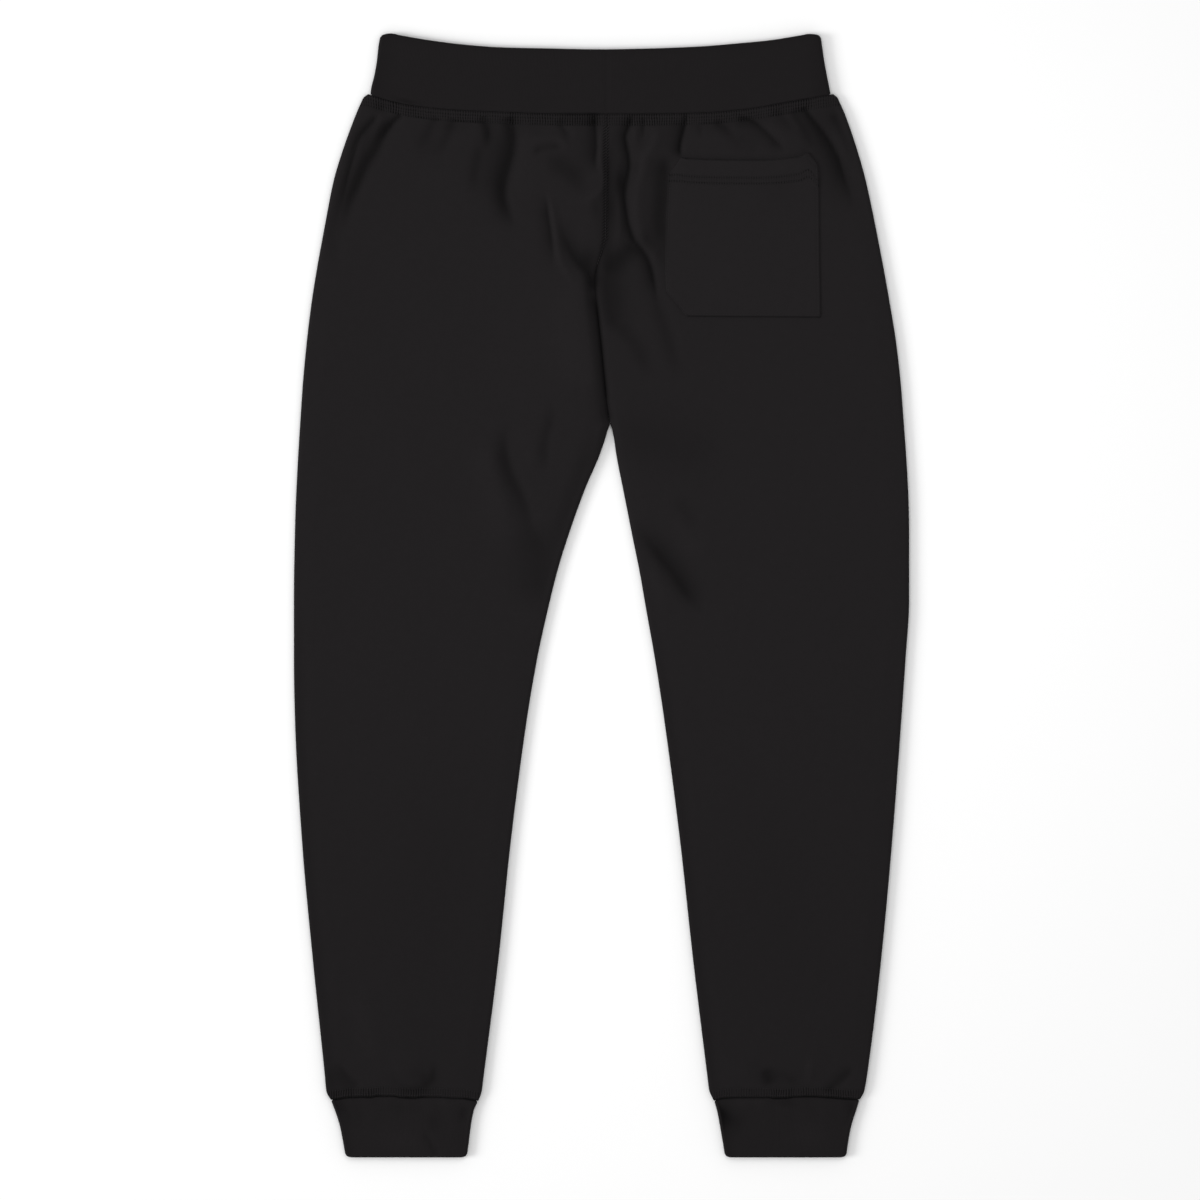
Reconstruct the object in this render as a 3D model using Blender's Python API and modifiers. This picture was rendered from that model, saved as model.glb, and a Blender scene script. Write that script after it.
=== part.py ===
"""Jogger sweatpants laid flat on their front, back side up.

Metres, +Z up. The origin is on the ground under the middle of the garment: +Y runs to the
waistband and +X to the wearer's right. Sizes are in millimetres and "down" is the distance
from the highest point of the waistband towards the cuffs.
"""
import math
from collections import namedtuple

import bmesh
import bpy

MM = 0.001

# Driving sizes, millimetres
LENGTH = 1040.0          # waistband top to cuff hem
FLEECE = 2.2             # wall of the body panels
BAND_WALL = 3.2          # waistband: folded rib with elastic inside, sewn through
CUFF_WALL = 2.8          # cuff: rib folded double
BODY_HEIGHT = 7.8        # two panels and the air between them, lying flat
BAND_HEIGHT = 8.4        # waistband lying flat
CUFF_HEIGHT = 6.8        # cuff lying flat
POCKET_WALL = 2.0        # patch pocket, one layer
POCKET_HEM = 3.2         # patch pocket at its turned top hem
GAP = 0.3                # between sewn pieces
POCKET_GAP = 0.4         # under the pocket
POCKET_REACH = 6.0       # half the width of the valleys that the pocket spans
SQUARE = 2.5             # straight band along every seam, which keeps the rims square
EDGE_ROUND = 4.2         # run of the soft round at the side seams and inseams
EDGE_RISE = 0.7          # upright part of that round at the seam itself
SEAM_ROUND = 13.0        # radius of the soft groove at the centre seams
SEAM_ANGLE = 24.0        # slope of the cloth at the centre seams, degrees
SEAM_TURN = 55.0         # length over which the groove opens into the crotch
SEAM_DIP = 0.8           # how far the cloth sinks at the waistband and cuff seams
DIP_RUN = 7.0            # how far that sinking reaches
CROTCH = 361.8           # crotch point, down from the waistband top
BAND_CORNER = 4.6        # rounded corners of the waistband in plan
CUFF_CORNER = 4.2        # rounded corners of the cuffs in plan
FOLD_CLEAR = 11.0        # folds die out this far from the panel's edges
DEEPEST = 2.9            # folds never sink further, so that the back stays clear of the front

# Outline of the body: distance of each side from the middle line
Side = namedtuple("Side", "down left right")
SIDES = (
    Side(56.0, 216.0, 214.4),
    Side(59.3, 220.4, 218.4),
    Side(63.0, 222.2, 220.2),
    Side(75.0, 227.4, 225.5),
    Side(107.0, 239.2, 236.5),
    Side(135.0, 247.7, 244.4),
    Side(172.0, 255.1, 252.4),
    Side(246.0, 268.0, 266.3),
    Side(293.0, 273.7, 273.7),
    Side(339.0, 277.6, 278.3),
    Side(459.0, 283.8, 284.8),
    Side(524.0, 284.8, 284.8),
    Side(580.0, 284.8, 281.4),
    Side(635.0, 283.8, 277.6),
    Side(746.0, 277.4, 269.2),
    Side(858.0, 267.2, 258.8),
    Side(964.0, 256.2, 245.9),
    Side(978.0, 254.9, 243.4),
    Side(981.0, 254.0, 242.4),
    Side(984.0, 252.4, 240.7),
    Side(987.2, 250.2, 238.4),
)

# Inner edge of each leg, signed across the middle line, from the crotch to the hem
Inseam = namedtuple("Inseam", "down left right")
INSEAMS = (
    Inseam(361.8, 7.75, 8.05),
    Inseam(366.7, 6.0, 9.7),
    Inseam(376.0, 3.2, 11.6),
    Inseam(390.0, -1.6, 13.6),
    Inseam(422.0, -15.3, 19.9),
    Inseam(469.0, -32.0, 29.2),
    Inseam(496.0, -40.3, 34.7),
    Inseam(533.0, -49.5, 41.2),
    Inseam(580.0, -59.7, 49.5),
    Inseam(635.0, -69.0, 57.9),
    Inseam(746.0, -83.6, 72.4),
    Inseam(858.0, -95.4, 84.7),
    Inseam(964.0, -108.8, 97.7),
    Inseam(978.0, -110.6, 99.5),
    Inseam(982.5, -111.8, 101.3),
    Inseam(987.4, -113.8, 103.8),
)

# Centre seam from the waistband to the crotch
Centre = namedtuple("Centre", "down across")
CENTRES = (
    Centre(70.0, 5.1),
    Centre(135.0, 4.7),
    Centre(187.0, 4.2),
    Centre(203.0, 0.6),
    Centre(218.0, -3.2),
    Centre(234.0, -4.4),
    Centre(254.0, -3.4),
    Centre(281.0, -1.2),
    Centre(314.0, 2.3),
    Centre(342.0, 5.0),
    Centre(361.8, 7.9),
)

# Seams that run across the garment, and the open top of the waistband
Level = namedtuple("Level", "across down")
WAIST_SEAM = (
    Level(-216.0, 56.0),
    Level(-197.7, 61.6),
    Level(-176.4, 66.2),
    Level(-140.0, 70.2),
    Level(-94.0, 72.4),
    Level(-30.0, 74.2),
    Level(40.0, 74.2),
    Level(91.0, 73.2),
    Level(135.0, 69.6),
    Level(170.0, 63.8),
    Level(195.0, 59.4),
    Level(214.4, 56.0),
)
BAND_TOP = (
    Level(-201.0, 0.4),
    Level(-195.0, 0.0),
    Level(-186.6, 1.7),
    Level(-158.8, 6.4),
    Level(-131.0, 10.0),
    Level(-94.0, 12.9),
    Level(-47.7, 14.0),
    Level(0.0, 14.8),
    Level(45.0, 14.0),
    Level(91.0, 12.1),
    Level(128.0, 9.1),
    Level(156.0, 6.3),
    Level(184.0, 1.9),
    Level(192.0, 0.5),
    Level(200.0, 0.8),
)
HEM_SEAM = (
    Level(-256.0, 987.2),
    Level(-249.0, 985.8),
    Level(-232.0, 984.4),
    Level(-197.0, 983.4),
    Level(-150.0, 984.2),
    Level(-132.0, 985.3),
    Level(-112.0, 987.4),
    Level(101.0, 987.4),
    Level(121.0, 985.4),
    Level(152.8, 984.2),
    Level(188.5, 983.5),
    Level(220.0, 984.4),
    Level(237.0, 985.9),
    Level(243.0, 987.0),
)

# Outline of the waistband and of the two cuffs
Band = namedtuple("Band", "down left right")
BANDS = (
    Band(0.0, 204.6, 202.6),
    Band(13.0, 207.0, 204.6),
    Band(24.0, 208.2, 206.2),
    Band(38.0, 210.7, 208.8),
    Band(52.0, 214.0, 211.6),
    Band(60.0, 214.8, 213.2),
)
Cuff = namedtuple("Cuff", "down left_outer left_inner right_inner right_outer")
CUFFS = (
    Cuff(984.0, -251.8, -112.2, 101.8, 240.8),
    Cuff(988.0, -250.2, -114.2, 104.0, 238.6),
    Cuff(996.5, -246.8, -118.1, 106.8, 235.7),
    Cuff(1011.0, -242.2, -120.9, 109.6, 231.2),
    Cuff(1026.0, -239.2, -122.8, 112.2, 228.3),
    Cuff(1040.0, -236.8, -124.6, 114.4, 226.4),
)

# Patch pocket on the wearer's right seat
PocketSide = namedtuple("PocketSide", "down left right")
POCKET_SIDES = (
    PocketSide(109.0, 76.0, 191.0),
    PocketSide(113.9, 73.6, 195.4),
    PocketSide(119.5, 69.6, 200.0),
    PocketSide(132.0, 61.6, 201.0),
    PocketSide(208.0, 58.8, 201.7),
    PocketSide(239.9, 59.7, 202.2),
    PocketSide(264.0, 81.4, 202.4),
)
POCKET_TOP = (
    Level(73.6, 113.9),
    Level(112.5, 117.4),
    Level(145.5, 117.4),
    Level(183.5, 114.2),
    Level(191.0, 110.6),
    Level(200.0, 119.5),
)
POCKET_BOTTOM = (
    Level(59.7, 241.0),
    Level(80.1, 262.1),
    Level(202.4, 263.0),
)
POCKET_HEM_DEPTH = 21.0

# Folds of the cloth: depth below the surface (negative for a ridge), half width and path
Fold = namedtuple("Fold", "depth width path")
FOLDS_LEFT = (
    # hip, from the waistband's corner down the side
    Fold(2.3, 9.0, ((-188, 77), (-204, 97), (-218, 119), (-229, 143), (-238, 168), (-244, 192))),
    # gathers and the long tuck of the seat, with the roll beside it
    Fold(1.1, 9.0, ((-108, 79), (-106, 96), (-112, 112), (-119, 136))),
    Fold(2.5, 9.0, ((-84, 82), (-85, 108), (-91, 130), (-92, 152), (-84, 180))),
    Fold(-1.0, 9.0, ((-67, 84), (-71, 106), (-76, 134), (-75, 162))),
    # hollow, roll and creases left of the centre seam
    Fold(1.9, 10.0, ((-55, 118), (-38, 122), (-16, 140))),
    Fold(-1.4, 9.0, ((-12, 92), (-11, 134), (-20, 152), (-33, 155))),
    Fold(-1.3, 9.0, ((-49, 152), (-43, 196), (-34, 222), (-26, 236))),
    Fold(1.6, 8.0, ((-60, 148), (-55, 176), (-52, 212))),
    Fold(2.3, 8.0, ((-36, 168), (-30, 196), (-19, 215), (-12, 232))),
    # thigh
    Fold(2.2, 9.0, ((-89, 356), (-91, 384), (-83, 414), (-71, 441), (-62, 466), (-48, 488))),
    Fold(1.2, 9.0, ((-46, 340), (-52, 368), (-54, 406))),
    Fold(1.5, 20.0, ((-64, 452), (-58, 492), (-66, 538))),
    # above the cuff
    Fold(1.2, 9.0, ((-244, 952), (-232, 967), (-218, 974))),
    Fold(1.7, 9.0, ((-156, 950), (-160, 967), (-177, 974), (-194, 964))),
)
FOLDS_RIGHT = (
    # long tuck of the seat, with the roll beside it
    Fold(2.5, 9.0, ((24, 80), (21, 104), (25, 128), (21, 154), (25, 184), (42, 210), (51, 246))),
    Fold(1.4, 10.0, ((51, 246), (60, 280), (73, 326))),
    Fold(-1.4, 9.0, ((49, 84), (39, 114), (34, 150), (36, 184), (52, 218))),
    # tuck and valley left of the pocket, and the gathers above the pocket
    Fold(1.8, 9.0, ((76, 80), (72, 112))),
    Fold(1.9, 9.0, ((54, 106), (55, 160), (57, 214))),
    Fold(1.4, 9.0, ((104, 78), (118, 94), (127, 108))),
    Fold(1.9, 9.0, ((132, 77), (150, 93), (171, 112))),
    # hip, from the waistband's corner down the side
    Fold(2.3, 9.0, ((188, 69), (207, 95), (222, 122), (230, 150), (234, 172))),
    # hollow that runs down from the centre seam into the thigh
    Fold(2.0, 10.0, ((12, 212), (11, 244), (18, 268), (34, 290), (44, 322))),
    # thigh
    Fold(2.7, 9.0, ((32, 452), (52, 482), (74, 513), (94, 537))),
    # above the cuff
    Fold(1.4, 9.0, ((145, 956), (156, 972), (178, 974))),
    Fold(1.6, 9.0, ((232, 954), (219, 970), (206, 977))),
)

# Rows of the panels: from each start, the spacing of the rows below it
Zone = namedtuple("Zone", "start step")
BACK_ZONES = (
    Zone(82.0, 12.0),
    Zone(250.0, 16.0),
    Zone(344.0, 6.0),
    Zone(380.0, 14.0),
    Zone(550.0, 38.0),
    Zone(930.0, 12.0),
    Zone(978.0, 4.0),
)
FRONT_ZONES = (
    Zone(84.0, 44.0),
    Zone(344.0, 9.0),
    Zone(390.0, 28.0),
    Zone(560.0, 62.0),
    Zone(978.0, 4.0),
)
BACK_COLUMNS = 21
FRONT_COLUMNS = 10
ROUND_STEPS = 3

# Colours of the cloth
FLEECE_BLACK = (0.0150, 0.0138, 0.0144, 1.0)
RIB_BLACK = (0.0142, 0.0131, 0.0137, 1.0)
FLEECE_ROUGH = 0.92
RIB_ROUGH = 0.86


def curve(rows, key, value):
    """Smooth line through a table, which never swings past its rows."""
    xs = [getattr(row, key) for row in rows]
    ys = [getattr(row, value) for row in rows]
    count = len(xs)
    chords = [(ys[k + 1] - ys[k]) / (xs[k + 1] - xs[k]) for k in range(count - 1)]
    slopes = [chords[0]] + [0.0] * (count - 2) + [chords[-1]]
    for k in range(1, count - 1):
        before, after = chords[k - 1], chords[k]
        if before * after > 0.0:
            slopes[k] = 2.0 * before * after / (before + after)

    def at(x):
        x = min(max(x, xs[0]), xs[-1])
        k = 0
        while k < count - 2 and x > xs[k + 1]:
            k += 1
        width = xs[k + 1] - xs[k]
        t = (x - xs[k]) / width
        rise = ys[k + 1] - ys[k]
        lift = slopes[k] * width
        end = slopes[k + 1] * width
        return ys[k] + t * (lift + t * (3 * rise - 2 * lift - end + t * (lift + end - 2 * rise)))

    return at


def soft(x):
    """Smooth step from 0 to 1."""
    x = min(max(x, 0.0), 1.0)
    return x * x * (3.0 - 2.0 * x)


def mix(a, b, t):
    return a + (b - a) * t


waist_seam = curve(WAIST_SEAM, "across", "down")
band_top = curve(BAND_TOP, "across", "down")
hem_seam = curve(HEM_SEAM, "across", "down")
centre_line = curve(CENTRES, "down", "across")
outer_edge = {-1: curve(SIDES, "down", "left"), 1: curve(SIDES, "down", "right")}
inner_edge = {-1: curve(INSEAMS, "down", "left"), 1: curve(INSEAMS, "down", "right")}
pocket_left = curve(POCKET_SIDES, "down", "left")
pocket_right = curve(POCKET_SIDES, "down", "right")
pocket_top = curve(POCKET_TOP, "across", "down")
pocket_bottom = curve(POCKET_BOTTOM, "across", "down")


def near_path(x, down, path):
    """Distance to a fold's path, and how far along it, from 0 to 1."""
    total = sum(math.dist(a, b) for a, b in zip(path, path[1:]))
    best, place, walked = 1e9, 0.0, 0.0
    for a, b in zip(path, path[1:]):
        length = math.dist(a, b)
        t = ((x - a[0]) * (b[0] - a[0]) + (down - a[1]) * (b[1] - a[1])) / length ** 2
        t = min(max(t, 0.0), 1.0)
        distance = math.hypot(x - mix(a[0], b[0], t), down - mix(a[1], b[1], t))
        if distance < best:
            best, place = distance, (walked + t * length) / total
        walked += length
    return best, place


def relief(x, down, folds):
    """Height of the folds at a point of the panel."""
    height = 0.0
    for fold in folds:
        distance, place = near_path(x, down, fold.path)
        if distance < 3.0 * fold.width:
            strength = 0.35 + 0.65 * soft(4.0 * min(place, 1.0 - place))
            height -= fold.depth * strength * math.exp(-((distance / fold.width) ** 2))
    return max(height, -DEEPEST)


def inner_limit(side, down):
    """Inner edge of a panel: the centre seam, then the inseam of its leg."""
    if down <= CROTCH:
        return centre_line(down) + side * GAP / 2.0
    return inner_edge[side](down)


def seam_angle(down):
    """Slope of the cloth at a panel's inner edge, upright from the crotch on."""
    turn = soft((down - CROTCH + SEAM_TURN) / SEAM_TURN)
    return math.radians(mix(SEAM_ANGLE, 90.0, turn * turn))


def seam_radius(down):
    turn = soft((down - CROTCH + SEAM_TURN) / SEAM_TURN)
    return mix(SEAM_ROUND, EDGE_ROUND, turn ** 0.7)


def panel_place(side, down, column, columns):
    """Where a column of a panel crosses one level: its distance from the side seam, how far it
    has turned down towards a seam, and the width of the panel."""
    outer = outer_edge[side](down)
    width = outer - side * inner_limit(side, down)
    angle, radius = seam_angle(down), seam_radius(down)
    half = BODY_HEIGHT / 2.0 - GAP / 2.0
    run = radius * math.sin(angle)
    first = 1 + ROUND_STEPS
    if column == 0:
        return outer, 0.0, half, width
    if column < first:
        turn = math.radians(90.0) * (column - 1) / ROUND_STEPS
        drop = (half - EDGE_RISE) * (1.0 - math.sin(turn))
        return outer, EDGE_ROUND * (1.0 - math.cos(turn)), drop, width
    if column <= first + columns:
        across = mix(EDGE_ROUND, width - run, (column - first) / columns)
        return outer, across, 0.0, width
    step = min(column - first - columns, ROUND_STEPS)
    turn = angle * step / ROUND_STEPS
    deepest = min(radius * (1.0 - math.cos(angle)), half - EDGE_RISE)
    drop = deepest * (1.0 - math.cos(turn)) / (1.0 - math.cos(angle))
    if column > first + columns + ROUND_STEPS:
        drop += mix(0.25, EDGE_RISE, soft((math.degrees(angle) - 60.0) / 30.0))
    return outer, width - run + radius * math.sin(turn), drop, width


def panel_height(side, down, column, columns, folds):
    """Distance across, and height above the middle of the garment, of a column."""
    outer, across, drop, width = panel_place(side, down, column, columns)
    across = min(across, width)
    x = side * (outer - across)
    clear = soft(min(across, width - across) / FOLD_CLEAR)
    lift = clear * relief(x, down, folds) if clear > 0.0 else 0.0
    return x, BODY_HEIGHT / 2.0 - GAP / 2.0 + lift - drop


def panel_rows(zones):
    """Levels of a panel's rows as shares of the way from the waistband to the cuff."""
    top, bottom = waist_seam(0.0), 984.0
    levels = [top, top + SQUARE, top + SQUARE + 2.6]
    for zone, after in zip(zones, zones[1:]):
        count = max(1, round((after.start - zone.start) / zone.step))
        levels += [mix(zone.start, after.start, k / count) for k in range(count)]
    levels += [zones[-1].start, bottom - SQUARE, bottom]
    levels = [CROTCH if abs(level - CROTCH) < 3.0 else level for level in levels]
    return [(level - top) / (bottom - top) for level in levels]


def panel_point(side, face, column, share, columns, folds):
    """One point of a panel. The face is 1 for the back and -1 for the front."""
    down = mix(60.0, 984.0, share)
    for _ in range(16):
        outer, across, _drop, width = panel_place(side, down, column, columns)
        x = side * (outer - min(across, width))
        down = mix(waist_seam(x) + GAP / 2.0, hem_seam(x) - GAP / 2.0, share)
    x, height = panel_height(side, down, column, columns, folds)
    if face > 0:
        near_seam = min(down - waist_seam(x), hem_seam(x) - down)
        height -= SEAM_DIP * (1.0 - soft(near_seam / DIP_RUN)) * height / (BODY_HEIGHT / 2.0)
    return x, down, BODY_HEIGHT / 2.0 + face * (GAP / 2.0 + height)


def open_grid(name, across, along, point, origin, ring=False):
    """Open surface: a grid laid out by a function of its column and row."""
    mesh = bpy.data.meshes.new(name)
    bm = bmesh.new()
    bmesh.ops.create_grid(bm, x_segments=across, y_segments=along, size=1.0)
    for vert in bm.verts:
        column = round((vert.co.x + 1.0) * 0.5 * across)
        row = round((vert.co.y + 1.0) * 0.5 * along)
        x, down, z = point(column, row)
        vert.co = ((x - origin[0]) * MM, (LENGTH / 2.0 - down - origin[1]) * MM, (z - origin[2]) * MM)
    if ring:
        bmesh.ops.remove_doubles(bm, verts=bm.verts, dist=1e-6)
    bm.to_mesh(mesh)
    bm.free()
    obj = bpy.data.objects.new(name, mesh)
    obj.location = [value * MM for value in origin]
    obj.parent = frame
    group.objects.link(obj)
    return obj


def face_out(obj, sign):
    """Turns the faces so that those on top (1) or underneath (-1) point out."""
    bm = bmesh.new()
    bm.from_mesh(obj.data)
    lean = sum(f.normal.z * f.calc_area() for f in bm.faces if f.calc_center_median().z * sign >= 0)
    if lean * sign < 0:
        bmesh.ops.reverse_faces(bm, faces=bm.faces)
    bm.to_mesh(obj.data)
    bm.free()


def thicken(obj, wall, offset=-1.0):
    solid = obj.modifiers.new("Wall", "SOLIDIFY")
    solid.thickness = wall * MM
    solid.offset = offset
    solid.use_even_offset = True
    solid.use_rim = True
    return solid


def round_rims(obj, width):
    bevel = obj.modifiers.new("Rims", "BEVEL")
    bevel.width = width * MM
    bevel.segments = 2
    bevel.limit_method = "ANGLE"
    bevel.angle_limit = math.radians(55.0)
    bevel.use_clamp_overlap = True
    return bevel


def colour(obj, base, rough):
    material = bpy.data.materials.new(obj.name + "_cloth")
    material.use_nodes = True
    shader = material.node_tree.nodes["Principled BSDF"]
    shader.inputs["Base Color"].default_value = base
    shader.inputs["Roughness"].default_value = rough
    shader.inputs["Metallic"].default_value = 0.0
    obj.data.materials.append(material)
    obj.data.shade_smooth()


def build_panel(name, side, face):
    """Half of the back or of the front, from the waistband seam to the cuff seam."""
    back = face > 0
    columns = BACK_COLUMNS if back else FRONT_COLUMNS
    folds = (FOLDS_LEFT if side < 0 else FOLDS_RIGHT) if back else ()
    shares = panel_rows(BACK_ZONES if back else FRONT_ZONES)
    last = len(shares) - 1
    count = columns + 2 * ROUND_STEPS + 2

    def point(column, row):
        if row in (0, last):
            inside = shares[1] if row == 0 else shares[last - 1]
            x, _down, z = panel_point(side, face, column, inside, columns, folds)
            down = waist_seam(x) + GAP / 2.0 if row == 0 else hem_seam(x) - GAP / 2.0
            return x, down, z
        return panel_point(side, face, column, shares[row], columns, folds)

    middle = (side * 140.0, 0.0, BODY_HEIGHT / 2.0)
    obj = open_grid(name, count, last, point, middle)
    face_out(obj, face)
    thicken(obj, FLEECE)
    colour(obj, FLEECE_BLACK, FLEECE_ROUGH)
    return obj


def ring_section(left, right, height, columns, steps):
    """Flattened tube seen from its end, once round from the left fold."""
    half = height / 2.0
    points = []
    for face in (1, -1):
        ends = (left, right) if face > 0 else (right, left)
        way = 1 if face > 0 else -1
        for step in range(steps):
            turn = math.radians(90.0) * step / steps
            points.append((ends[0] + way * half * (1 - math.cos(turn)), face * half * math.sin(turn)))
        for column in range(columns + 1):
            share = column / columns
            points.append((mix(ends[0] + way * half, ends[1] - way * half, share), face * half))
        for step in range(steps - 1, 0, -1):
            turn = math.radians(90.0) * step / steps
            points.append((ends[1] - way * half * (1 - math.cos(turn)), face * half * math.sin(turn)))
    return points


def corner(distance, radius):
    """How far a rounded corner pulls the side in, at a distance from the end."""
    if distance >= radius:
        return 0.0
    return radius - math.sqrt(max(radius ** 2 - (radius - distance) ** 2, 0.0))


def build_band():
    """Waistband: a flattened ring of folded rib, open at the top and at the seam."""
    columns, steps = 20, 3
    left, right = curve(BANDS, "down", "left"), curve(BANDS, "down", "right")
    shares = (0.0, 0.03, 0.09, 0.34, 0.66, 0.955, 1.0)
    count = len(ring_section(-1, 1, 1, columns, steps))

    def point(column, row):
        share = shares[row] if row < len(shares) - 1 else shares[-2]
        down = 30.0
        for _ in range(16):
            pull = corner(share * 58.0, BAND_CORNER)
            section = ring_section(-left(down) + pull, right(down) - pull, BAND_HEIGHT, columns, steps)
            x, z = section[column % count]
            down = mix(band_top(x), waist_seam(x) - GAP / 2.0, share)
        if row == len(shares) - 1:
            down = waist_seam(x) - GAP / 2.0
        return x, down, z + BAND_HEIGHT / 2.0

    obj = open_grid("waistband", count, len(shares) - 1, point, (0.0, 480.0, BAND_HEIGHT / 2.0), ring=True)
    face_out(obj, 1)
    thicken(obj, BAND_WALL)
    round_rims(obj, 0.9)
    colour(obj, RIB_BLACK, RIB_ROUGH)
    return obj


def build_cuff(name, side):
    """Cuff: a flattened ring of rib, folded at the hem and narrowing to it."""
    columns, steps = 7, 3
    word = "left" if side < 0 else "right"
    outer = curve(CUFFS, "down", word + "_outer")
    inner = curve(CUFFS, "down", word + "_inner")
    shares = (0.0, 0.045, 0.3, 0.62, 0.93, 0.975, 1.0)
    count = len(ring_section(-1, 1, 1, columns, steps))

    def point(column, row):
        share = shares[row] if row > 0 else shares[1]
        down = 1010.0
        for _ in range(16):
            pull = corner((1.0 - share) * 55.0, CUFF_CORNER)
            ends = sorted((outer(down), inner(down)))
            section = ring_section(ends[0] + pull, ends[1] - pull, CUFF_HEIGHT, columns, steps)
            x, z = section[column % count]
            down = mix(hem_seam(x) + GAP / 2.0, LENGTH, share)
        if row == 0:
            down = hem_seam(x) + GAP / 2.0
        return x, down, z + CUFF_HEIGHT / 2.0

    middle = (side * 178.0, -492.0, CUFF_HEIGHT / 2.0)
    obj = open_grid(name, count, len(shares) - 1, point, middle, ring=True)
    face_out(obj, 1)
    thicken(obj, CUFF_WALL)
    round_rims(obj, 0.8)
    colour(obj, RIB_BLACK, RIB_ROUGH)
    return obj


def build_pocket():
    """Patch pocket, laid on the points of the right back panel, its top hem turned double."""
    across, along = 13, 14
    hem_rows = 3
    reach = (-POCKET_REACH, 0.0, POCKET_REACH)

    def cloth_below(x, down):
        """The pocket spans the narrow valleys of the panel and follows the rest."""
        return BODY_HEIGHT + max(relief(x + a, down + b, FOLDS_RIGHT) for a in reach for b in reach)

    def point(column, row):
        share = column / across
        if row <= hem_rows:
            level = row / hem_rows * POCKET_HEM_DEPTH / 150.0
        else:
            level = mix(POCKET_HEM_DEPTH / 150.0, 1.0, (row - hem_rows) / (along - hem_rows))
        down = mix(116.0, 262.0, level)
        for _ in range(16):
            x = mix(pocket_left(down), pocket_right(down), share)
            down = mix(pocket_top(x), pocket_bottom(x), level)
        return x, down, cloth_below(x, down) + POCKET_GAP

    obj = open_grid("back_pocket", across, along, point, (131.0, 331.0, BODY_HEIGHT))
    face_out(obj, 1)
    hem = obj.vertex_groups.new(name="turned_hem")
    for vert in obj.data.vertices:
        down = LENGTH / 2.0 - (vert.co.y / MM + 331.0)
        x = vert.co.x / MM + 131.0
        turned = 1.0 if down < pocket_top(x) + POCKET_HEM_DEPTH - 4.0 else 0.0
        hem.add([vert.index], turned, "REPLACE")
    wall = thicken(obj, POCKET_HEM, offset=1.0)
    wall.vertex_group = hem.name
    wall.thickness_vertex_group = POCKET_WALL / POCKET_HEM
    colour(obj, FLEECE_BLACK, FLEECE_ROUGH)
    return obj


for old in list(bpy.data.objects):
    bpy.data.objects.remove(old, do_unlink=True)

group = bpy.data.collections.new("jogger_sweatpants")
bpy.context.scene.collection.children.link(group)
frame = bpy.data.objects.new("jogger_sweatpants_frame", None)
group.objects.link(frame)

build_band()
build_panel("back_left", -1, 1)
build_panel("back_right", 1, 1)
build_panel("front_left", -1, -1)
build_panel("front_right", 1, -1)
build_pocket()
build_cuff("cuff_left", -1)
build_cuff("cuff_right", 1)
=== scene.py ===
"""Looks of a pair of black jogger sweatpants lying flat, back side up.

Sizes are in millimetres until a mesh is made. "Down" is the distance from the highest point of
the waistband towards the cuffs, "across" is +X, to the wearer's right.
"""
import math
from collections import namedtuple

import bpy
import numpy as np
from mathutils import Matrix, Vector

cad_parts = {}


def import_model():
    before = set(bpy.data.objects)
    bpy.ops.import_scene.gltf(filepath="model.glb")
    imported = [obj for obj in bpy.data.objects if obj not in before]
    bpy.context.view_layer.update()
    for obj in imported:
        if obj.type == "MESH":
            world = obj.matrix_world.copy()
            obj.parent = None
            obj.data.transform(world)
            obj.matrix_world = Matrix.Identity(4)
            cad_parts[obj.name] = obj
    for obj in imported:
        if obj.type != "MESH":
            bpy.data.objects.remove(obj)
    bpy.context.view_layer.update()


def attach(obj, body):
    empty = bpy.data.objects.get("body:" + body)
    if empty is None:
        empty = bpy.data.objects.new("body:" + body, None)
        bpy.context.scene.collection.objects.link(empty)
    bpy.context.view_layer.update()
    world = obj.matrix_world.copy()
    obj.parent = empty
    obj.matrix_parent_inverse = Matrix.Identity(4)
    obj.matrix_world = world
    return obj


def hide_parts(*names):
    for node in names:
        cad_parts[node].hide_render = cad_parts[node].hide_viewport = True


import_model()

MM = 0.001
LENGTH = 1040.0
FLEECE = 1.8             # panel wall
BAND_WALL = 3.2
CUFF_WALL = 2.8
BODY_HEIGHT = 7.8
BAND_HEIGHT = 8.4
CUFF_HEIGHT = 6.8
SEAM_GAP = 0.1           # between the edges that meet at a seam
EDGE_ROUND = 4.2         # run of the round at the side seams and inseams
SEAM_ROUND = 8.0         # radius of the groove at the centre seams
SEAM_ANGLE = 17.0        # slope of the cloth there, degrees
SEAM_TURN = 55.0         # length over which that groove opens into the crotch
CROTCH = 361.8
BAND_CORNER = 4.6
CUFF_CORNER = 4.2
EDGE_EASE = 0.9          # the cloth sinks a little towards its outline
EASE_RUN = 20.0
LEFT, RIGHT = -1, 1      # sides, as signs of X
BACK, FRONT = 1, -1      # faces, as signs of Z

Side = namedtuple("Side", "down left right")
SIDES = (
    Side(56.0, 216.0, 214.4),
    Side(59.3, 220.4, 218.4),
    Side(63.0, 222.2, 220.2),
    Side(75.0, 227.4, 225.5),
    Side(107.0, 239.2, 236.5),
    Side(135.0, 247.7, 244.4),
    Side(172.0, 255.1, 252.4),
    Side(246.0, 268.0, 266.3),
    Side(293.0, 273.7, 273.7),
    Side(339.0, 277.6, 278.3),
    Side(459.0, 283.8, 284.8),
    Side(524.0, 284.8, 284.8),
    Side(580.0, 284.8, 281.4),
    Side(635.0, 283.8, 277.6),
    Side(746.0, 277.4, 269.2),
    Side(858.0, 267.2, 258.8),
    Side(964.0, 256.2, 245.9),
    Side(978.0, 254.9, 243.4),
    Side(981.0, 254.0, 242.4),
    Side(984.0, 252.4, 240.7),
    Side(987.2, 250.2, 238.4),
)
Inseam = namedtuple("Inseam", "down left right")
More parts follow.
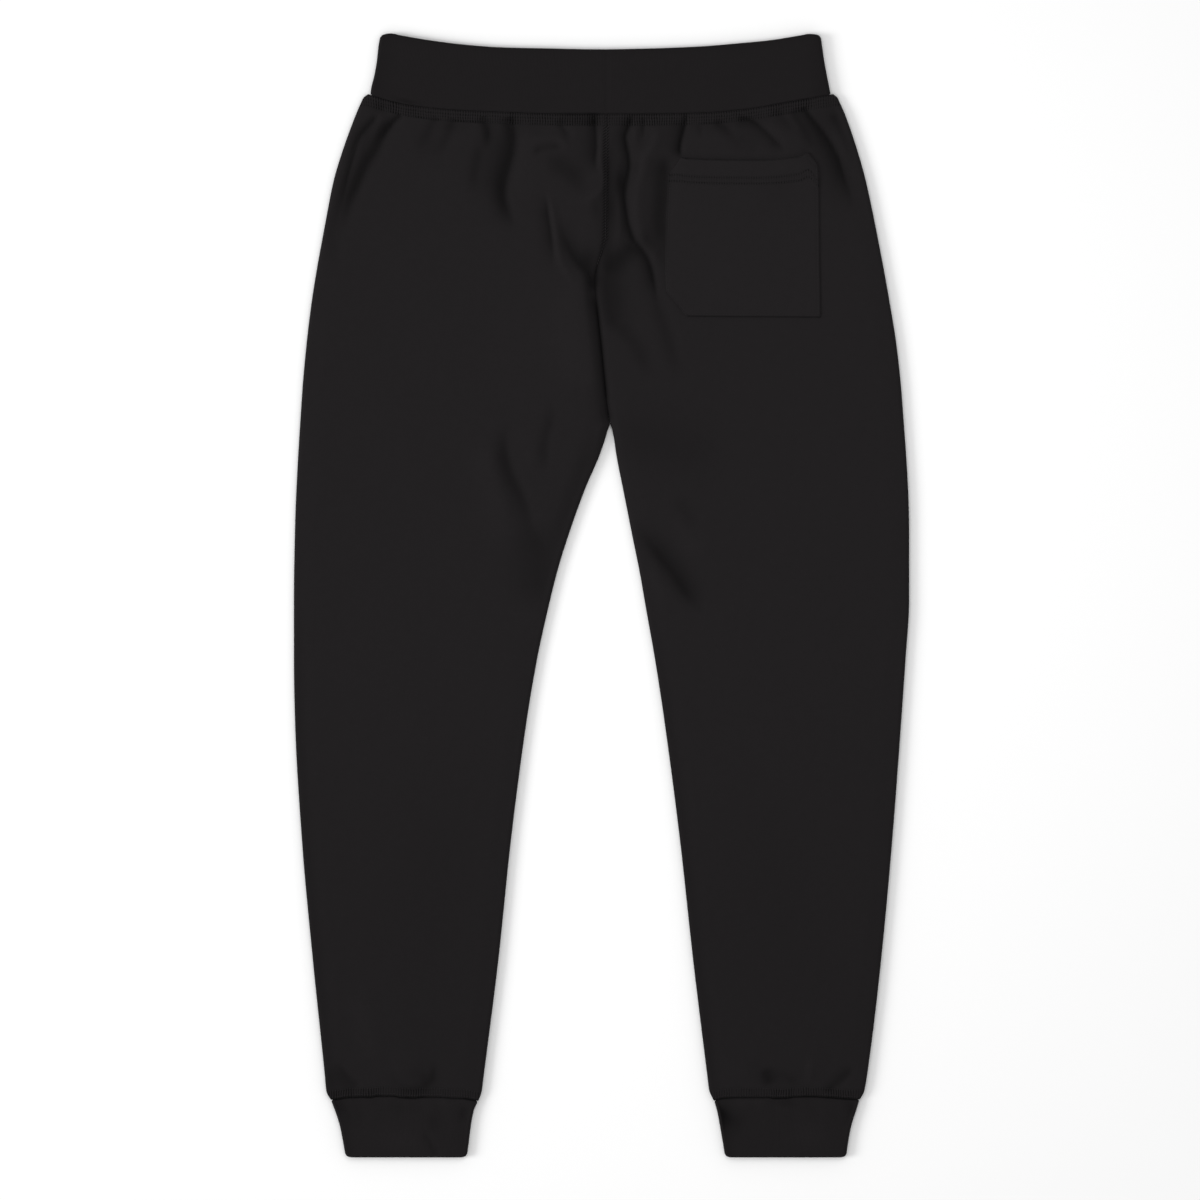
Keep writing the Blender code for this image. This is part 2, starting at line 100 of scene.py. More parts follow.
INSEAMS = (
    Inseam(361.8, 7.75, 8.05),
    Inseam(366.7, 6.0, 9.7),
    Inseam(376.0, 3.2, 11.6),
    Inseam(390.0, -1.6, 13.6),
    Inseam(422.0, -15.3, 19.9),
    Inseam(469.0, -32.0, 29.2),
    Inseam(496.0, -40.3, 34.7),
    Inseam(533.0, -49.5, 41.2),
    Inseam(580.0, -59.7, 49.5),
    Inseam(635.0, -69.0, 57.9),
    Inseam(746.0, -83.6, 72.4),
    Inseam(858.0, -95.4, 84.7),
    Inseam(964.0, -108.8, 97.7),
    Inseam(978.0, -110.6, 99.5),
    Inseam(982.5, -111.8, 101.3),
    Inseam(987.4, -113.8, 103.8),
)
Centre = namedtuple("Centre", "down across")
CENTRES = (
    Centre(70.0, 5.1),
    Centre(135.0, 4.7),
    Centre(187.0, 4.2),
    Centre(203.0, 0.2),
    Centre(218.0, -4.4),
    Centre(231.0, -6.0),
    Centre(242.0, -5.4),
    Centre(256.0, -3.9),
    Centre(281.0, -1.2),
    Centre(314.0, 2.3),
    Centre(342.0, 5.0),
    Centre(361.8, 7.9),
)
Level = namedtuple("Level", "across down")
WAIST_SEAM = (
    Level(-216.0, 56.0),
    Level(-197.7, 61.6),
    Level(-176.4, 66.2),
    Level(-140.0, 70.2),
    Level(-94.0, 72.4),
    Level(-30.0, 74.2),
    Level(40.0, 74.2),
    Level(91.0, 73.2),
    Level(135.0, 69.6),
    Level(170.0, 63.8),
    Level(195.0, 59.4),
    Level(214.4, 56.0),
)
BAND_TOP = (
    Level(-201.0, 0.4),
    Level(-195.0, 0.0),
    Level(-186.6, 1.7),
    Level(-158.8, 6.4),
    Level(-131.0, 10.0),
    Level(-94.0, 12.9),
    Level(-47.7, 14.0),
    Level(0.0, 14.8),
    Level(45.0, 14.0),
    Level(91.0, 12.1),
    Level(128.0, 9.1),
    Level(156.0, 6.3),
    Level(184.0, 1.9),
    Level(192.0, 0.5),
    Level(200.0, 0.8),
)
HEM_SEAM = (
    Level(-252.0, 987.0),
    Level(-244.0, 986.3),
    Level(-235.0, 984.7),
    Level(-221.5, 984.2),
    Level(-213.0, 984.4),
    Level(-207.0, 983.3),
    Level(-192.6, 983.2),
    Level(-185.0, 984.6),
    Level(-172.0, 985.1),
    Level(-165.0, 984.3),
    Level(-152.0, 984.2),
    Level(-141.0, 985.0),
    Level(-128.0, 985.5),
    Level(-114.0, 987.6),
    Level(103.0, 987.6),
    Level(113.0, 985.4),
    Level(125.0, 984.7),
    Level(150.0, 984.6),
    Level(155.0, 984.5),
    Level(160.0, 985.3),
    Level(171.0, 985.1),
    Level(180.0, 984.0),
    Level(193.0, 983.7),
    Level(207.0, 984.4),
    Level(227.0, 985.9),
    Level(240.0, 986.6),
)
Band = namedtuple("Band", "down left right")
BANDS = (
    Band(0.0, 204.6, 202.6),
    Band(13.0, 207.0, 204.6),
    Band(24.0, 208.2, 206.2),
    Band(38.0, 210.7, 208.8),
    Band(52.0, 214.0, 211.6),
    Band(60.0, 214.8, 213.2),
)
Cuff = namedtuple("Cuff", "down left_outer left_inner right_inner right_outer")
CUFFS = (
    Cuff(984.0, -251.8, -112.2, 101.8, 240.8),
    Cuff(988.0, -250.2, -114.2, 104.0, 238.6),
    Cuff(996.5, -246.8, -118.1, 106.8, 235.7),
    Cuff(1011.0, -242.2, -120.9, 109.6, 231.2),
    Cuff(1026.0, -239.2, -122.8, 112.2, 228.3),
    Cuff(1040.0, -236.8, -124.6, 114.4, 226.4),
)
PocketSide = namedtuple("PocketSide", "down left right")
POCKET_SIDES = (
    PocketSide(109.0, 76.0, 191.0),
    PocketSide(114.9, 73.4, 195.4),
    PocketSide(121.0, 69.6, 200.0),
    PocketSide(133.0, 61.6, 201.0),
    PocketSide(208.0, 58.8, 201.7),
    PocketSide(239.9, 59.7, 202.2),
    PocketSide(264.0, 81.4, 202.4),
)
POCKET_TOP = (
    Level(73.6, 114.9),
    Level(80.0, 116.1),
    Level(112.5, 117.2),
    Level(145.5, 117.4),
    Level(183.5, 114.2),
    Level(191.0, 110.6),
    Level(200.0, 119.5),
)
POCKET_BOTTOM = (
    Level(59.7, 241.0),
    Level(80.1, 262.1),
    Level(202.4, 263.0),
)

# Rise of the cloth with the distance from a seam
Rise = namedtuple("Rise", "away height")
BELOW_WAIST = (
    Rise(0.0, -1.7),
    Rise(0.4, -0.95),
    Rise(1.1, -0.75),
    Rise(3.2, -0.75),
    Rise(9.5, -0.75),
    Rise(12.0, -0.5),
    Rise(17.0, 0.0),
)
ABOVE_HEM = (
    Rise(0.0, -3.4),
    Rise(0.7, -2.1),
    Rise(1.4, -0.8),
    Rise(3.0, -0.45),
    Rise(8.5, -0.3),
    Rise(13.0, 0.0),
)
BAND_FOOT = (
    Rise(0.0, -1.2),
    Rise(0.4, -0.4),
    Rise(1.1, -0.1),
    Rise(3.0, 0.0),
)
CUFF_HEAD = (
    Rise(0.0, -2.0),
    Rise(0.6, -0.9),
    Rise(1.6, -0.3),
    Rise(5.0, 0.0),
)

# Folds of the back: depth below the surface (negative for a ridge), half widths on either side
# of a path that runs down, sharpness of the crease (1 is a crease, 2 is soft), shares of the
# path over which it fades in and out, and the path as (across, down)
# The back's folds also paint shade into its colour, and its ridges a little light
Fold = namedtuple("Fold", "depth west east sharp head tail path")
FOLDS = (
    # left hip, from the waistband's corner down the side
    Fold(1.3, 12.0, 5.0, 1.9, 0.4, 0.4,
         ((-190, 78), (-203, 96), (-216, 118), (-227, 141), (-236, 166), (-243, 190))),
    Fold(2.4, 2.9, 2.6, 1.5, 0.02, 0.6, ((-186, 75), (-192, 80), (-198, 87), (-204, 95), (-209, 104))),
    Fold(3.4, 6.0, 3.6, 1.5, 0.15, 0.45,
         ((-188, 75.6), (-199.6, 85.7), (-205.6, 96.5), (-211, 107.2), (-218.2, 118), (-223.6, 128.8),
          (-229, 141.3), (-234.4, 154), (-238, 166.5), (-240.6, 177.2), (-244, 192))),
    Fold(2.1, 3.4, 2.8, 1.5, 0.08, 0.5,
         ((-206, 73), (-212, 80), (-219, 88), (-226.3, 98.2), (-232.6, 119.8), (-238.8, 143),
          (-244.2, 164.7), (-248.7, 186))),
    Fold(-0.9, 3.6, 3.6, 2.0, 0.2, 0.5, ((-203, 74), (-209, 83), (-215, 95), (-221, 108))),
    # gathers below the waistband, left
    Fold(1.3, 4.0, 4.0, 1.9, 0.05, 0.8, ((-154, 77), (-160, 88), (-166, 100), (-173, 114))),
    Fold(1.4, 4.4, 4.4, 1.9, 0.05, 0.6, ((-138, 78), (-141, 88), (-145, 98), (-151, 108), (-158, 118))),
    Fold(2.8, 4.6, 4.4, 1.7, 0.03, 0.5, ((-112, 76), (-108.5, 85), (-107, 93), (-107.5, 100), (-109, 109))),
    Fold(1.4, 5.0, 5.0, 1.9, 0.3, 0.4,
         ((-111, 98), (-114.5, 110), (-117.5, 122), (-119, 134), (-119.5, 150))),
    # the long tuck of the left seat, in its hollow, and the roll beside it
    Fold(1.5, 20.0, 9.0, 2.0, 0.3, 0.4, ((-92, 82), (-96, 110), (-100, 136), (-97, 164))),
    Fold(4.3, 8.0, 4.2, 1.6, 0.03, 0.28,
         ((-86, 75), (-85, 86), (-83.6, 98), (-85, 110), (-87.8, 121), (-90.6, 131), (-92.6, 141),
          (-92.6, 151), (-90.6, 160), (-86.6, 170), (-80, 184))),
    Fold(-0.8, 7.0, 12.0, 2.0, 0.2, 0.4, ((-68, 82), (-70, 96), (-72, 112), (-76, 134), (-76, 162))),
    # small arcs under the waistband
    Fold(1.7, 3.8, 3.6, 1.8, 0.1, 0.4, ((-40, 78), (-38, 87), (-33, 93.5), (-27, 97))),
    Fold(1.6, 3.2, 3.2, 1.9, 0.25, 0.3, ((-67, 112), (-60, 107.5), (-53, 105), (-44, 104), (-36, 106))),
    Fold(-0.8, 3.2, 3.2, 2.0, 0.3, 0.3,
         ((-70, 107), (-64, 101), (-54, 98), (-44, 98), (-37, 102), (-33, 110))),
    Fold(2.1, 10.0, 9.0, 2.0, 0.35, 0.35,
         ((-56, 118), (-48, 119), (-40, 121), (-31, 126), (-23, 133), (-14, 142))),
    # roll that comes down left of the centre seam, turns left and runs down again
    Fold(-1.6, 3.6, 3.6, 2.0, 0.1, 0.3,
         ((-5, 86), (-5, 100), (-4.5, 116), (-2, 128), (-1, 138), (-4, 146), (-12, 152), (-22, 155),
          (-32, 154))),
    Fold(-1.5, 3.8, 4.2, 2.0, 0.2, 0.3,
         ((-52, 146), (-50, 158), (-47.5, 172), (-45.5, 186), (-43.5, 200), (-40, 212), (-33, 224),
          (-26, 236))),
    # tuck on its left where it starts, and the two creases on either side of it further down
    Fold(3.2, 7.5, 2.2, 1.35, 0.04, 0.4,
         ((-7.5, 75), (-6.5, 86), (-6, 95), (-5.7, 105), (-6.5, 114.7), (-6, 124.6), (-3, 132))),
    Fold(2.1, 6.5, 2.0, 1.4, 0.3, 0.45,
         ((-54, 144), (-51.6, 156), (-50.4, 168), (-48.8, 178), (-47.4, 188), (-46.4, 198), (-45.6, 208),
          (-44.5, 222))),
    Fold(3.3, 4.6, 9.5, 1.8, 0.5, 0.15,
         ((-40, 164), (-38.4, 172), (-37.4, 180), (-34.9, 190), (-31, 199), (-24.6, 209), (-17.6, 216.8),
          (-13.5, 222.8), (-11.5, 231), (-10, 242))),
    # valley of the centre seam, with the long tuck of the right seat
    Fold(2.3, 7.0, 6.5, 2.0, 0.3, 0.3,
         ((8, 88), (7, 108), (5, 126), (4, 146), (3.6, 160), (4, 176), (4, 190), (4, 210), (2, 224))),
    Fold(-0.5, 3.2, 3.2, 2.0, 0.3, 0.3, ((11, 146), (13, 160), (14, 174), (13, 186), (9, 198))),
    Fold(3.8, 6.5, 2.5, 1.3, 0.02, 0.2,
         ((26, 75), (26, 82), (24, 87), (21.4, 95), (22.6, 104.7), (24.4, 112.7), (25, 122.6),
          (23.6, 131.5), (21.8, 140), (20.8, 148), (21.2, 156), (22.4, 165.3), (24, 175.2), (26.6, 184),
          (29.6, 192), (32, 195), (36.9, 201), (41.9, 209), (45.3, 218), (47.4, 228), (49.2, 237.7),
          (50.6, 246), (52, 258))),
    Fold(1.3, 7.0, 6.0, 2.0, 0.25, 0.4, ((49, 236), (52, 254), (58, 272), (63, 290), (68, 306), (73, 326))),
    Fold(2.3, 8.0, 9.0, 2.0, 0.15, 0.4, ((28, 194), (23, 202), (15, 208), (6, 213), (-3, 218))),
    # roll between that tuck and the valley left of the pocket
    Fold(-1.6, 5.0, 6.0, 2.0, 0.1, 0.3,
         ((50, 82), (48, 94), (44, 104), (38, 114), (35, 126), (32, 138), (30, 150), (30, 164), (31, 176),
          (35, 188), (41, 199), (47, 208), (52, 220), (56, 234))),
    Fold(-0.7, 3.0, 3.0, 2.0, 0.2, 0.4, ((28, 86), (28, 98), (31, 107))),
    Fold(1.3, 3.4, 2.2, 1.5, 0.04, 0.6, ((38, 77), (38, 87), (37.5, 95), (36.9, 101))),
    Fold(2.8, 10.0, 5.4, 1.9, 0.2, 0.3,
         ((54, 107), (56, 118), (57, 134), (56.5, 150), (55, 166), (55, 182), (57, 198), (59, 212))),
    # tuck above the pocket's corner, and the gathers above the pocket
    Fold(1.2, 14.0, 4.0, 2.0, 0.2, 0.4, ((73, 78), (70, 98), (65, 118))),
    Fold(3.0, 4.6, 1.5, 1.3, 0.03, 0.2,
         ((77.5, 75), (77, 83), (74.8, 92), (72.8, 100), (72.0, 107), (73.0, 112), (76, 115.4))),
    Fold(1.9, 5.0, 3.6, 1.8, 0.2, 0.6, ((102, 79), (108, 83.5), (114, 89), (119.5, 96), (124, 105))),
    Fold(0.7, 3.0, 3.0, 2.0, 0.3, 0.5, ((89, 82), (89.5, 90), (91, 98))),
    Fold(0.9, 9.0, 9.0, 2.0, 0.3, 0.4, ((124, 92), (134, 100), (146, 108))),
    Fold(2.2, 6.0, 2.6, 1.4, 0.12, 0.25,
         ((124, 78), (131, 78.5), (139, 81), (146, 86.5), (154, 94), (162.3, 102.5), (171, 111))),
    Fold(1.2, 5.0, 3.4, 1.7, 0.04, 0.6, ((160, 69), (168, 80), (177, 90), (184, 98))),
    Fold(-0.6, 5.0, 5.0, 2.0, 0.2, 0.5, ((150, 78), (162, 91), (174, 102))),
    # right hip, from the waistband's corner down the side
    Fold(1.7, 19.0, 5.0, 1.9, 0.35, 0.4,
         ((186, 66), (198, 84), (211, 104), (222, 126), (230, 152), (234, 172))),
    Fold(3.1, 6.0, 2.0, 1.3, 0.03, 0.5,
         ((186, 67), (189, 72), (196, 81.6), (203.6, 91.4), (211.4, 103), (217.4, 115), (221.8, 127.8),
          (226, 140.3), (230.4, 155), (234, 170))),
    Fold(1.5, 4.6, 4.6, 1.9, 0.05, 0.5, ((176, 70), (181, 80), (187, 90), (192, 100), (197, 112))),
    Fold(1.1, 4.0, 4.0, 1.9, 0.1, 0.5, ((212, 72), (219, 86), (226, 100), (231, 114), (236, 130))),
    # groove in which the centre seam sinks below the fork, with the swell on its left
    Fold(1.0, 2.2, 1.4, 1.5, 0.12, 0.1,
         ((3.8, 186), (0.4, 201), (-3.0, 211), (-5.2, 220), (-6.2, 231), (-5.6, 242), (-4.2, 256),
          (-2.4, 272), (0, 296), (2.2, 318), (5, 344))),
    Fold(3.0, 7.0, 3.0, 1.6, 0.25, 0.02,
         ((-11, 222), (-11.4, 232), (-10.4, 240), (-9, 248), (-7, 256), (-5.6, 264), (-4.6, 274),
          (-3.2, 284), (-2, 296), (-1, 308), (0.5, 320), (2, 334), (3.4, 348), (5.4, 359))),
    Fold(-2.2, 26.0, 9.0, 2.0, 0.25, 0.25,
         ((-24, 222), (-21, 240), (-19, 256), (-18, 272), (-16, 290), (-14, 310), (-12, 336))),
    # hollow on its right, which runs down into the thigh
    Fold(2.4, 7.5, 13.0, 1.8, 0.15, 0.3,
         ((8, 208), (4.5, 224), (5, 238), (6, 252), (9.5, 264), (17, 272), (25, 280))),
    Fold(1.4, 7.0, 8.0, 2.0, 0.2, 0.5, ((14, 266), (24, 279), (32, 289), (37, 299), (41, 310), (44, 326))),
    # left thigh
    Fold(3.0, 8.0, 4.6, 1.6, 0.3, 0.6,
         ((-87, 354), (-89.5, 366), (-91.4, 378), (-90.5, 391.5), (-86, 408), (-78.4, 423), (-72.4, 438),
          (-68.5, 453.5), (-63, 466), (-55, 478), (-48, 488))),
    Fold(-1.2, 16.0, 9.0, 2.0, 0.2, 0.3,
         ((-108, 370), (-106, 392), (-102, 412), (-97, 432), (-92, 456), (-86, 484))),
    Fold(-0.6, 8.0, 8.0, 2.0, 0.3, 0.4, ((-73, 352), (-73, 372), (-70, 392), (-64, 410))),
    Fold(1.9, 20.0, 18.0, 2.0, 0.3, 0.4, ((-66, 448), (-60, 480), (-60, 505), (-66, 540))),
    Fold(1.5, 5.4, 5.0, 1.9, 0.35, 0.3,
         ((-45, 338), (-47.5, 352), (-51, 366), (-54, 381), (-54, 394), (-53, 409))),
    Fold(1.1, 9.0, 9.0, 2.0, 0.3, 0.3, ((-4, 358), (-12, 386), (-24, 418), (-36, 452), (-46, 488))),
    # right thigh
    Fold(3.7, 6.4, 11.5, 1.6, 0.4, 0.3,
         ((28, 447), (36, 460), (44, 471.6), (56, 486.7), (66.7, 500.3), (75.8, 514), (85, 526),
          (95.4, 538))),
    Fold(-1.0, 10.0, 14.0, 2.0, 0.3, 0.4, ((64, 440), (80, 466), (96, 494))),
    Fold(-0.8, 7.0, 7.0, 2.0, 0.3, 0.5, ((40, 494), (52, 512), (66, 530))),
    Fold(0.9, 8.0, 8.0, 2.0, 0.4, 0.4, ((66, 424), (78, 444), (88, 466))),
    # above the left cuff
    Fold(1.5, 11.0, 3.0, 1.6, 0.4, 0.2, ((-246, 950), (-239.6, 962), (-233, 969), (-224, 975))),
    Fold(2.3, 4.0, 6.0, 1.7, 0.25, 0.85,
         ((-155.5, 948), (-156.1, 956), (-156.6, 963), (-158.6, 969), (-163, 973), (-169, 975.2),
          (-179, 975.7), (-185, 973), (-192.7, 968.5), (-195, 960), (-199.6, 954), (-204.5, 949))),
    Fold(0.9, 5.0, 5.0, 2.0, 0.3, 0.3, ((-163, 960), (-164, 968), (-168, 974))),
    Fold(-0.9, 11.0, 11.0, 2.0, 0.4, 0.2, ((-231, 876), (-222, 904), (-216, 932), (-211, 955))),
    # above the right cuff
    Fold(1.7, 6.0, 6.5, 1.9, 0.3, 0.3, ((150, 956), (153, 965), (156, 974))),
    Fold(0.7, 3.6, 3.6, 2.0, 0.3, 0.3, ((155, 968), (164, 963), (175, 968), (184, 974))),
    Fold(2.2, 5.4, 3.1, 1.6, 0.3, 0.3, ((232, 953), (227, 961), (219, 969), (210, 976), (200, 979))),
    Fold(-0.8, 4.0, 4.0, 2.0, 0.4, 0.2, ((190, 944), (190, 958), (188, 974))),
)
# Soft swells and hollows: height, place, half widths and turn in degrees. The hollows also paint shade into
# the colour of the back and its pocket
Mound = namedtuple("Mound", "height across down wide tall turn")
MOUNDS = (
    Mound(-0.8, -204, 70, 10, 6, 0),
    Mound(-1.0, -160, 99, 15, 15, 0),
    Mound(-0.9, -136, 85, 15, 6, 0),
    Mound(-0.5, -20, 112, 12, 26, 0),
    Mound(-0.8, -75, 86, 6, 8, 0),
    Mound(-0.9, 62, 120, 6, 11, 20),
    Mound(-1.5, 10, 161, 4.6, 14, 0),
    Mound(-2.3, 18.5, 136, 6, 13, 0),
    Mound(-0.8, -101, 88, 6, 9, 0),
    Mound(-0.6, -60, 88, 11, 7, 0),
    Mound(-0.6, 38, 100, 9, 8, 0),
    Mound(-0.6, 33, 127, 4, 9, 0),
    Mound(-0.9, 57, 208, 6, 9, 0),
    Mound(-0.7, -17, 142, 7, 6, 0),
    Mound(-2.2, 43, 192, 6, 10, -20),
    Mound(-0.6, 21, 214, 7, 7, 0),
    Mound(-0.6, 126, 97, 6, 9, 0),
    Mound(-0.5, 166, 148, 20, 18, 0),
    Mound(-1.1, -216, 92, 8, 14, 25),
    Mound(-1.1, -4, 162, 5, 10, 0),
    Mound(-1.4, -10, 208, 12, 8, -30),
    Mound(-1.4, -9, 234, 7, 30, 0),
    Mound(-1.2, 14, 206, 14, 10, 0),
    Mound(-0.9, 17, 238, 13, 24, 0),
    Mound(-0.8, 54, 160, 8, 60, 0),
    Mound(-0.9, 128, 83, 55, 6, -6),
    Mound(-1.0, 205, 82, 15, 12, 30),
    Mound(-1.2, 217, 76, 8, 14, -22),
    Mound(-0.9, -247, 190, 7, 26, 0),
    Mound(-1.1, 44, 376, 42, 26, 12),
    Mound(-0.6, 92, 384, 26, 30, 0),
    Mound(-0.7, -238, 968, 14, 10, 0),
    Mound(-0.8, 176, 968, 20, 9, 0),
    Mound(-0.7, -168, 964, 10, 8, 0),
    Mound(-1.0, 156, 966, 8, 9, 0),
    Mound(3.6, -4, 300, 74, 100, 0),
    Mound(1.5, -20, 150, 110, 60, 0),
    Mound(-1.0, -206, 66, 8, 6, 0),
    Mound(1.0, 120, 96, 42, 13, 0),
    Mound(0.9, -178, 952, 14, 13, 0),
    Mound(0.8, 133, 956, 11, 10, 0),
    Mound(0.7, 199, 950, 12, 12, 0),
    Mound(1.2, -196, 900, 40, 60, 0),
    Mound(0.8, 195, 910, 40, 60, 0),
    Mound(0.4, -180, 620, 50, 120, 0),
    Mound(0.4, 170, 640, 50, 120, 0),
    Mound(-0.4, -150, 780, 40, 90, 10),
    Mound(-0.4, 160, 800, 40, 90, -8),
)
# Folds of the front, pressed up from the ground it lies on
FRONT_FOLDS = (
    Fold(1.2, 7.0, 5.0, 1.9, 0.2, 0.6, ((-203, 76), (-218, 106), (-230, 142), (-237, 180))),
    Fold(1.4, 6.0, 5.0, 1.9, 0.05, 0.7, ((-170, 74), (-179, 96), (-186, 116), (-196, 142))),
    Fold(0.9, 4.0, 4.0, 1.9, 0.05, 0.8, ((-144, 76), (-150, 92), (-154, 110))),
    Fold(1.6, 8.0, 4.6, 1.7, 0.04, 0.6, ((-118, 76), (-114, 92), (-113, 108), (-118, 130), (-121, 152))),
    Fold(1.5, 5.0, 4.4, 1.8, 0.05, 0.6, ((-66, 80), (-64, 100), (-68, 122), (-66, 148))),
    Fold(1.1, 4.0, 4.0, 1.8, 0.05, 0.6, ((-40, 80), (-44, 96), (-42, 116))),
    Fold(0.8, 3.6, 3.6, 1.9, 0.05, 0.8, ((-24, 80), (-22, 94), (-26, 108))),
    Fold(1.2, 4.4, 4.4, 1.8, 0.05, 0.6, ((40, 80), (43, 96), (40, 118), (42, 140))),
    Fold(1.4, 7.0, 4.6, 1.8, 0.04, 0.6, ((92, 78), (97, 96), (94, 118), (98, 146))),
    Fold(0.9, 4.0, 4.0, 1.9, 0.05, 0.8, ((120, 76), (127, 92), (132, 108))),
    Fold(1.3, 6.0, 5.0, 1.9, 0.05, 0.7, ((150, 74), (162, 96), (172, 120), (182, 150))),
    Fold(1.1, 6.0, 5.0, 1.9, 0.2, 0.6, ((190, 70), (202, 94), (212, 122), (219, 156))),
    Fold(1.3, 8.0, 8.0, 2.0, 0.3, 0.5, ((-30, 186), (-38, 214), (-34, 240), (-44, 268))),
    Fold(1.5, 8.0, 6.0, 1.9, 0.3, 0.6, ((-26, 262), (-36, 288), (-52, 316), (-70, 350))),
    Fold(1.1, 7.0, 7.0, 2.0, 0.4, 0.5, ((-60, 300), (-76, 322), (-96, 338))),
    Fold(1.5, 6.0, 8.0, 1.9, 0.3, 0.6, ((32, 262), (42, 290), (58, 320), (78, 352))),
    Fold(1.0, 7.0, 7.0, 2.0, 0.4, 0.5, ((72, 290), (88, 314), (108, 330))),
    Fold(1.3, 8.0, 7.0, 1.9, 0.3, 0.5, ((-104, 420), (-112, 448), (-108, 480), (-116, 516))),
    Fold(1.0, 9.0, 9.0, 2.0, 0.4, 0.4, ((-70, 520), (-84, 548), (-104, 570))),
    Fold(1.4, 7.0, 8.0, 1.9, 0.3, 0.5, ((96, 420), (104, 450), (116, 482), (120, 520))),
    Fold(1.0, 9.0, 9.0, 2.0, 0.4, 0.4, ((60, 540), (76, 566), (98, 584))),
    Fold(0.9, 11.0, 11.0, 2.0, 0.4, 0.4, ((-150, 640), (-172, 676), (-168, 716))),
    Fold(0.9, 11.0, 11.0, 2.0, 0.4, 0.4, ((150, 660), (166, 700), (158, 742))),
    Fold(1.0, 5.0, 5.0, 1.9, 0.4, 0.3, ((-236, 944), (-231, 958), (-220, 972))),
    Fold(1.2, 6.0, 5.0, 1.9, 0.4, 0.3, ((-208, 940), (-200, 958), (-186, 972))),
    Fold(1.0, 5.0, 5.0, 1.9, 0.4, 0.3, ((-146, 946), (-150, 960), (-160, 974))),
    Fold(1.0, 5.0, 5.0, 1.9, 0.4, 0.3, ((126, 946), (131, 960), (142, 974))),
    Fold(1.2, 5.0, 6.0, 1.9, 0.4, 0.3, ((158, 940), (166, 958), (178, 972))),
    Fold(1.1, 5.0, 5.0, 1.9, 0.4, 0.3, ((222, 944), (216, 960), (204, 973))),
)
# Creases of the cuffs, which also paint shade into their colour
CUFF_FOLDS = (
    Fold(0.9, 4.0, 3.0, 1.7, 0.3, 0.1, ((-167, 1014), (-163, 1022), (-158.5, 1029), (-154, 1039))),
    Fold(0.8, 5.0, 5.0, 1.9, 0.3, 0.5, ((108, 992), (114, 1002), (122, 1013))),
    Fold(0.5, 3.6, 3.6, 1.8, 0.3, 0.6, ((-242, 990), (-236, 1000), (-232, 1014))),
    Fold(0.5, 4.0, 4.0, 1.8, 0.3, 0.6, ((-128, 989), (-130, 1000), (-132, 1012))),
    Fold(0.5, 3.4, 3.4, 1.8, 0.3, 0.6, ((234, 989), (228, 1000), (224, 1014))),
    Fold(0.4, 5.0, 5.0, 2.0, 0.3, 0.6, ((-160, 1000), (-157, 1010), (-158, 1020))),
)
# Swells and hollows of the cuffs: the hollows paint shade into their colour and the swells paint light
CUFF_MOUNDS = (
    Mound(0.6, -182, 1024, 26, 12, 0),
    Mound(0.4, -146, 989, 16, 4, 0),
    Mound(-1.1, -240, 991, 7, 7, -20),
    Mound(-0.5, -228, 999, 10, 12, 0),
    Mound(-0.8, -126, 1000, 6, 10, 10),
    Mound(-0.5, -184, 994, 14, 6, 0),
    Mound(-0.5, -151, 1006, 9, 12, 0),
    Mound(-0.4, -128, 1024, 8, 12, 0),
    Mound(0.6, 194, 1020, 18, 13, 0),
    Mound(0.5, 140, 989, 17, 4, 0),
    Mound(-1.5, 114, 1000, 8, 12, -12),
    Mound(-1.3, 124, 1007, 10, 10, 0),
    Mound(-0.9, 172, 989, 12, 4, 0),
    Mound(-0.9, 233, 992, 8, 7, 20),
    Mound(-0.3, 222, 1010, 10, 20, 0),
)

# How the stitching draws the cloth in along a seam: place, half width, and how strong the crimps,
# the dotted needle row furthest from the seam and the shade at the seam are there
Gather = namedtuple("Gather", "across half crimps dots shade")
WAIST_GATHERS = (
    Gather(-205.0, 5.0, 0.9, 0.1, 0.3),
    Gather(-192.0, 5.0, 0.8, 0.2, 0.4),
    Gather(-176.0, 8.0, 0.3, 0.4, 0.2),
    Gather(-162.0, 12.0, 0.0, 0.8, 0.0),
    Gather(-124.0, 15.0, 0.2, 1.4, 0.0),
    Gather(-83.5, 2.5, 0.9, 0.2, 0.2),
    Gather(-78.0, 4.0, 0.4, 0.1, 0.0),
    Gather(-54.0, 14.0, 0.5, 0.3, 0.1),
    Gather(-26.0, 14.0, 0.6, 0.3, 0.7),
    Gather(-8.0, 6.0, 0.9, 0.3, 1.1),
    Gather(28.0, 7.0, 1.0, 0.2, 0.2),
    Gather(45.0, 10.0, 0.7, 0.2, 0.2),
    Gather(64.0, 9.0, 0.4, 0.1, 0.0),
    Gather(76.5, 2.5, 0.9, 0.1, 0.1),
    Gather(103.0, 11.0, 0.2, 0.8, 0.0),
    Gather(128.0, 14.0, 0.3, 0.1, 0.0),
    Gather(160.0, 5.0, 0.5, 0.6, 0.2),
    Gather(171.0, 7.0, 0.1, 0.6, 0.3),
    Gather(185.5, 7.0, 1.0, 0.1, 0.4),
)
HEM_GATHERS = (
    Gather(-240.0, 12.0, 0.7, 0.2, 0.9),
    Gather(-214.0, 12.0, 0.6, 0.2, 0.6),
    Gather(-174.0, 12.0, 0.6, 0.1, 0.9),
    Gather(-146.0, 15.0, 0.1, 0.1, -0.7),
    Gather(-122.0, 8.0, 0.2, 0.2, 0.4),
    Gather(112.0, 10.0, 0.2, 0.1, 0.2),
    Gather(138.0, 15.0, 0.2, 0.1, -0.7),
    Gather(168.0, 10.0, 0.8, 0.4, 0.9),
    Gather(192.0, 10.0, 0.5, 0.2, 0.5),
    Gather(219.0, 14.0, 0.7, 0.3, 0.9),
)

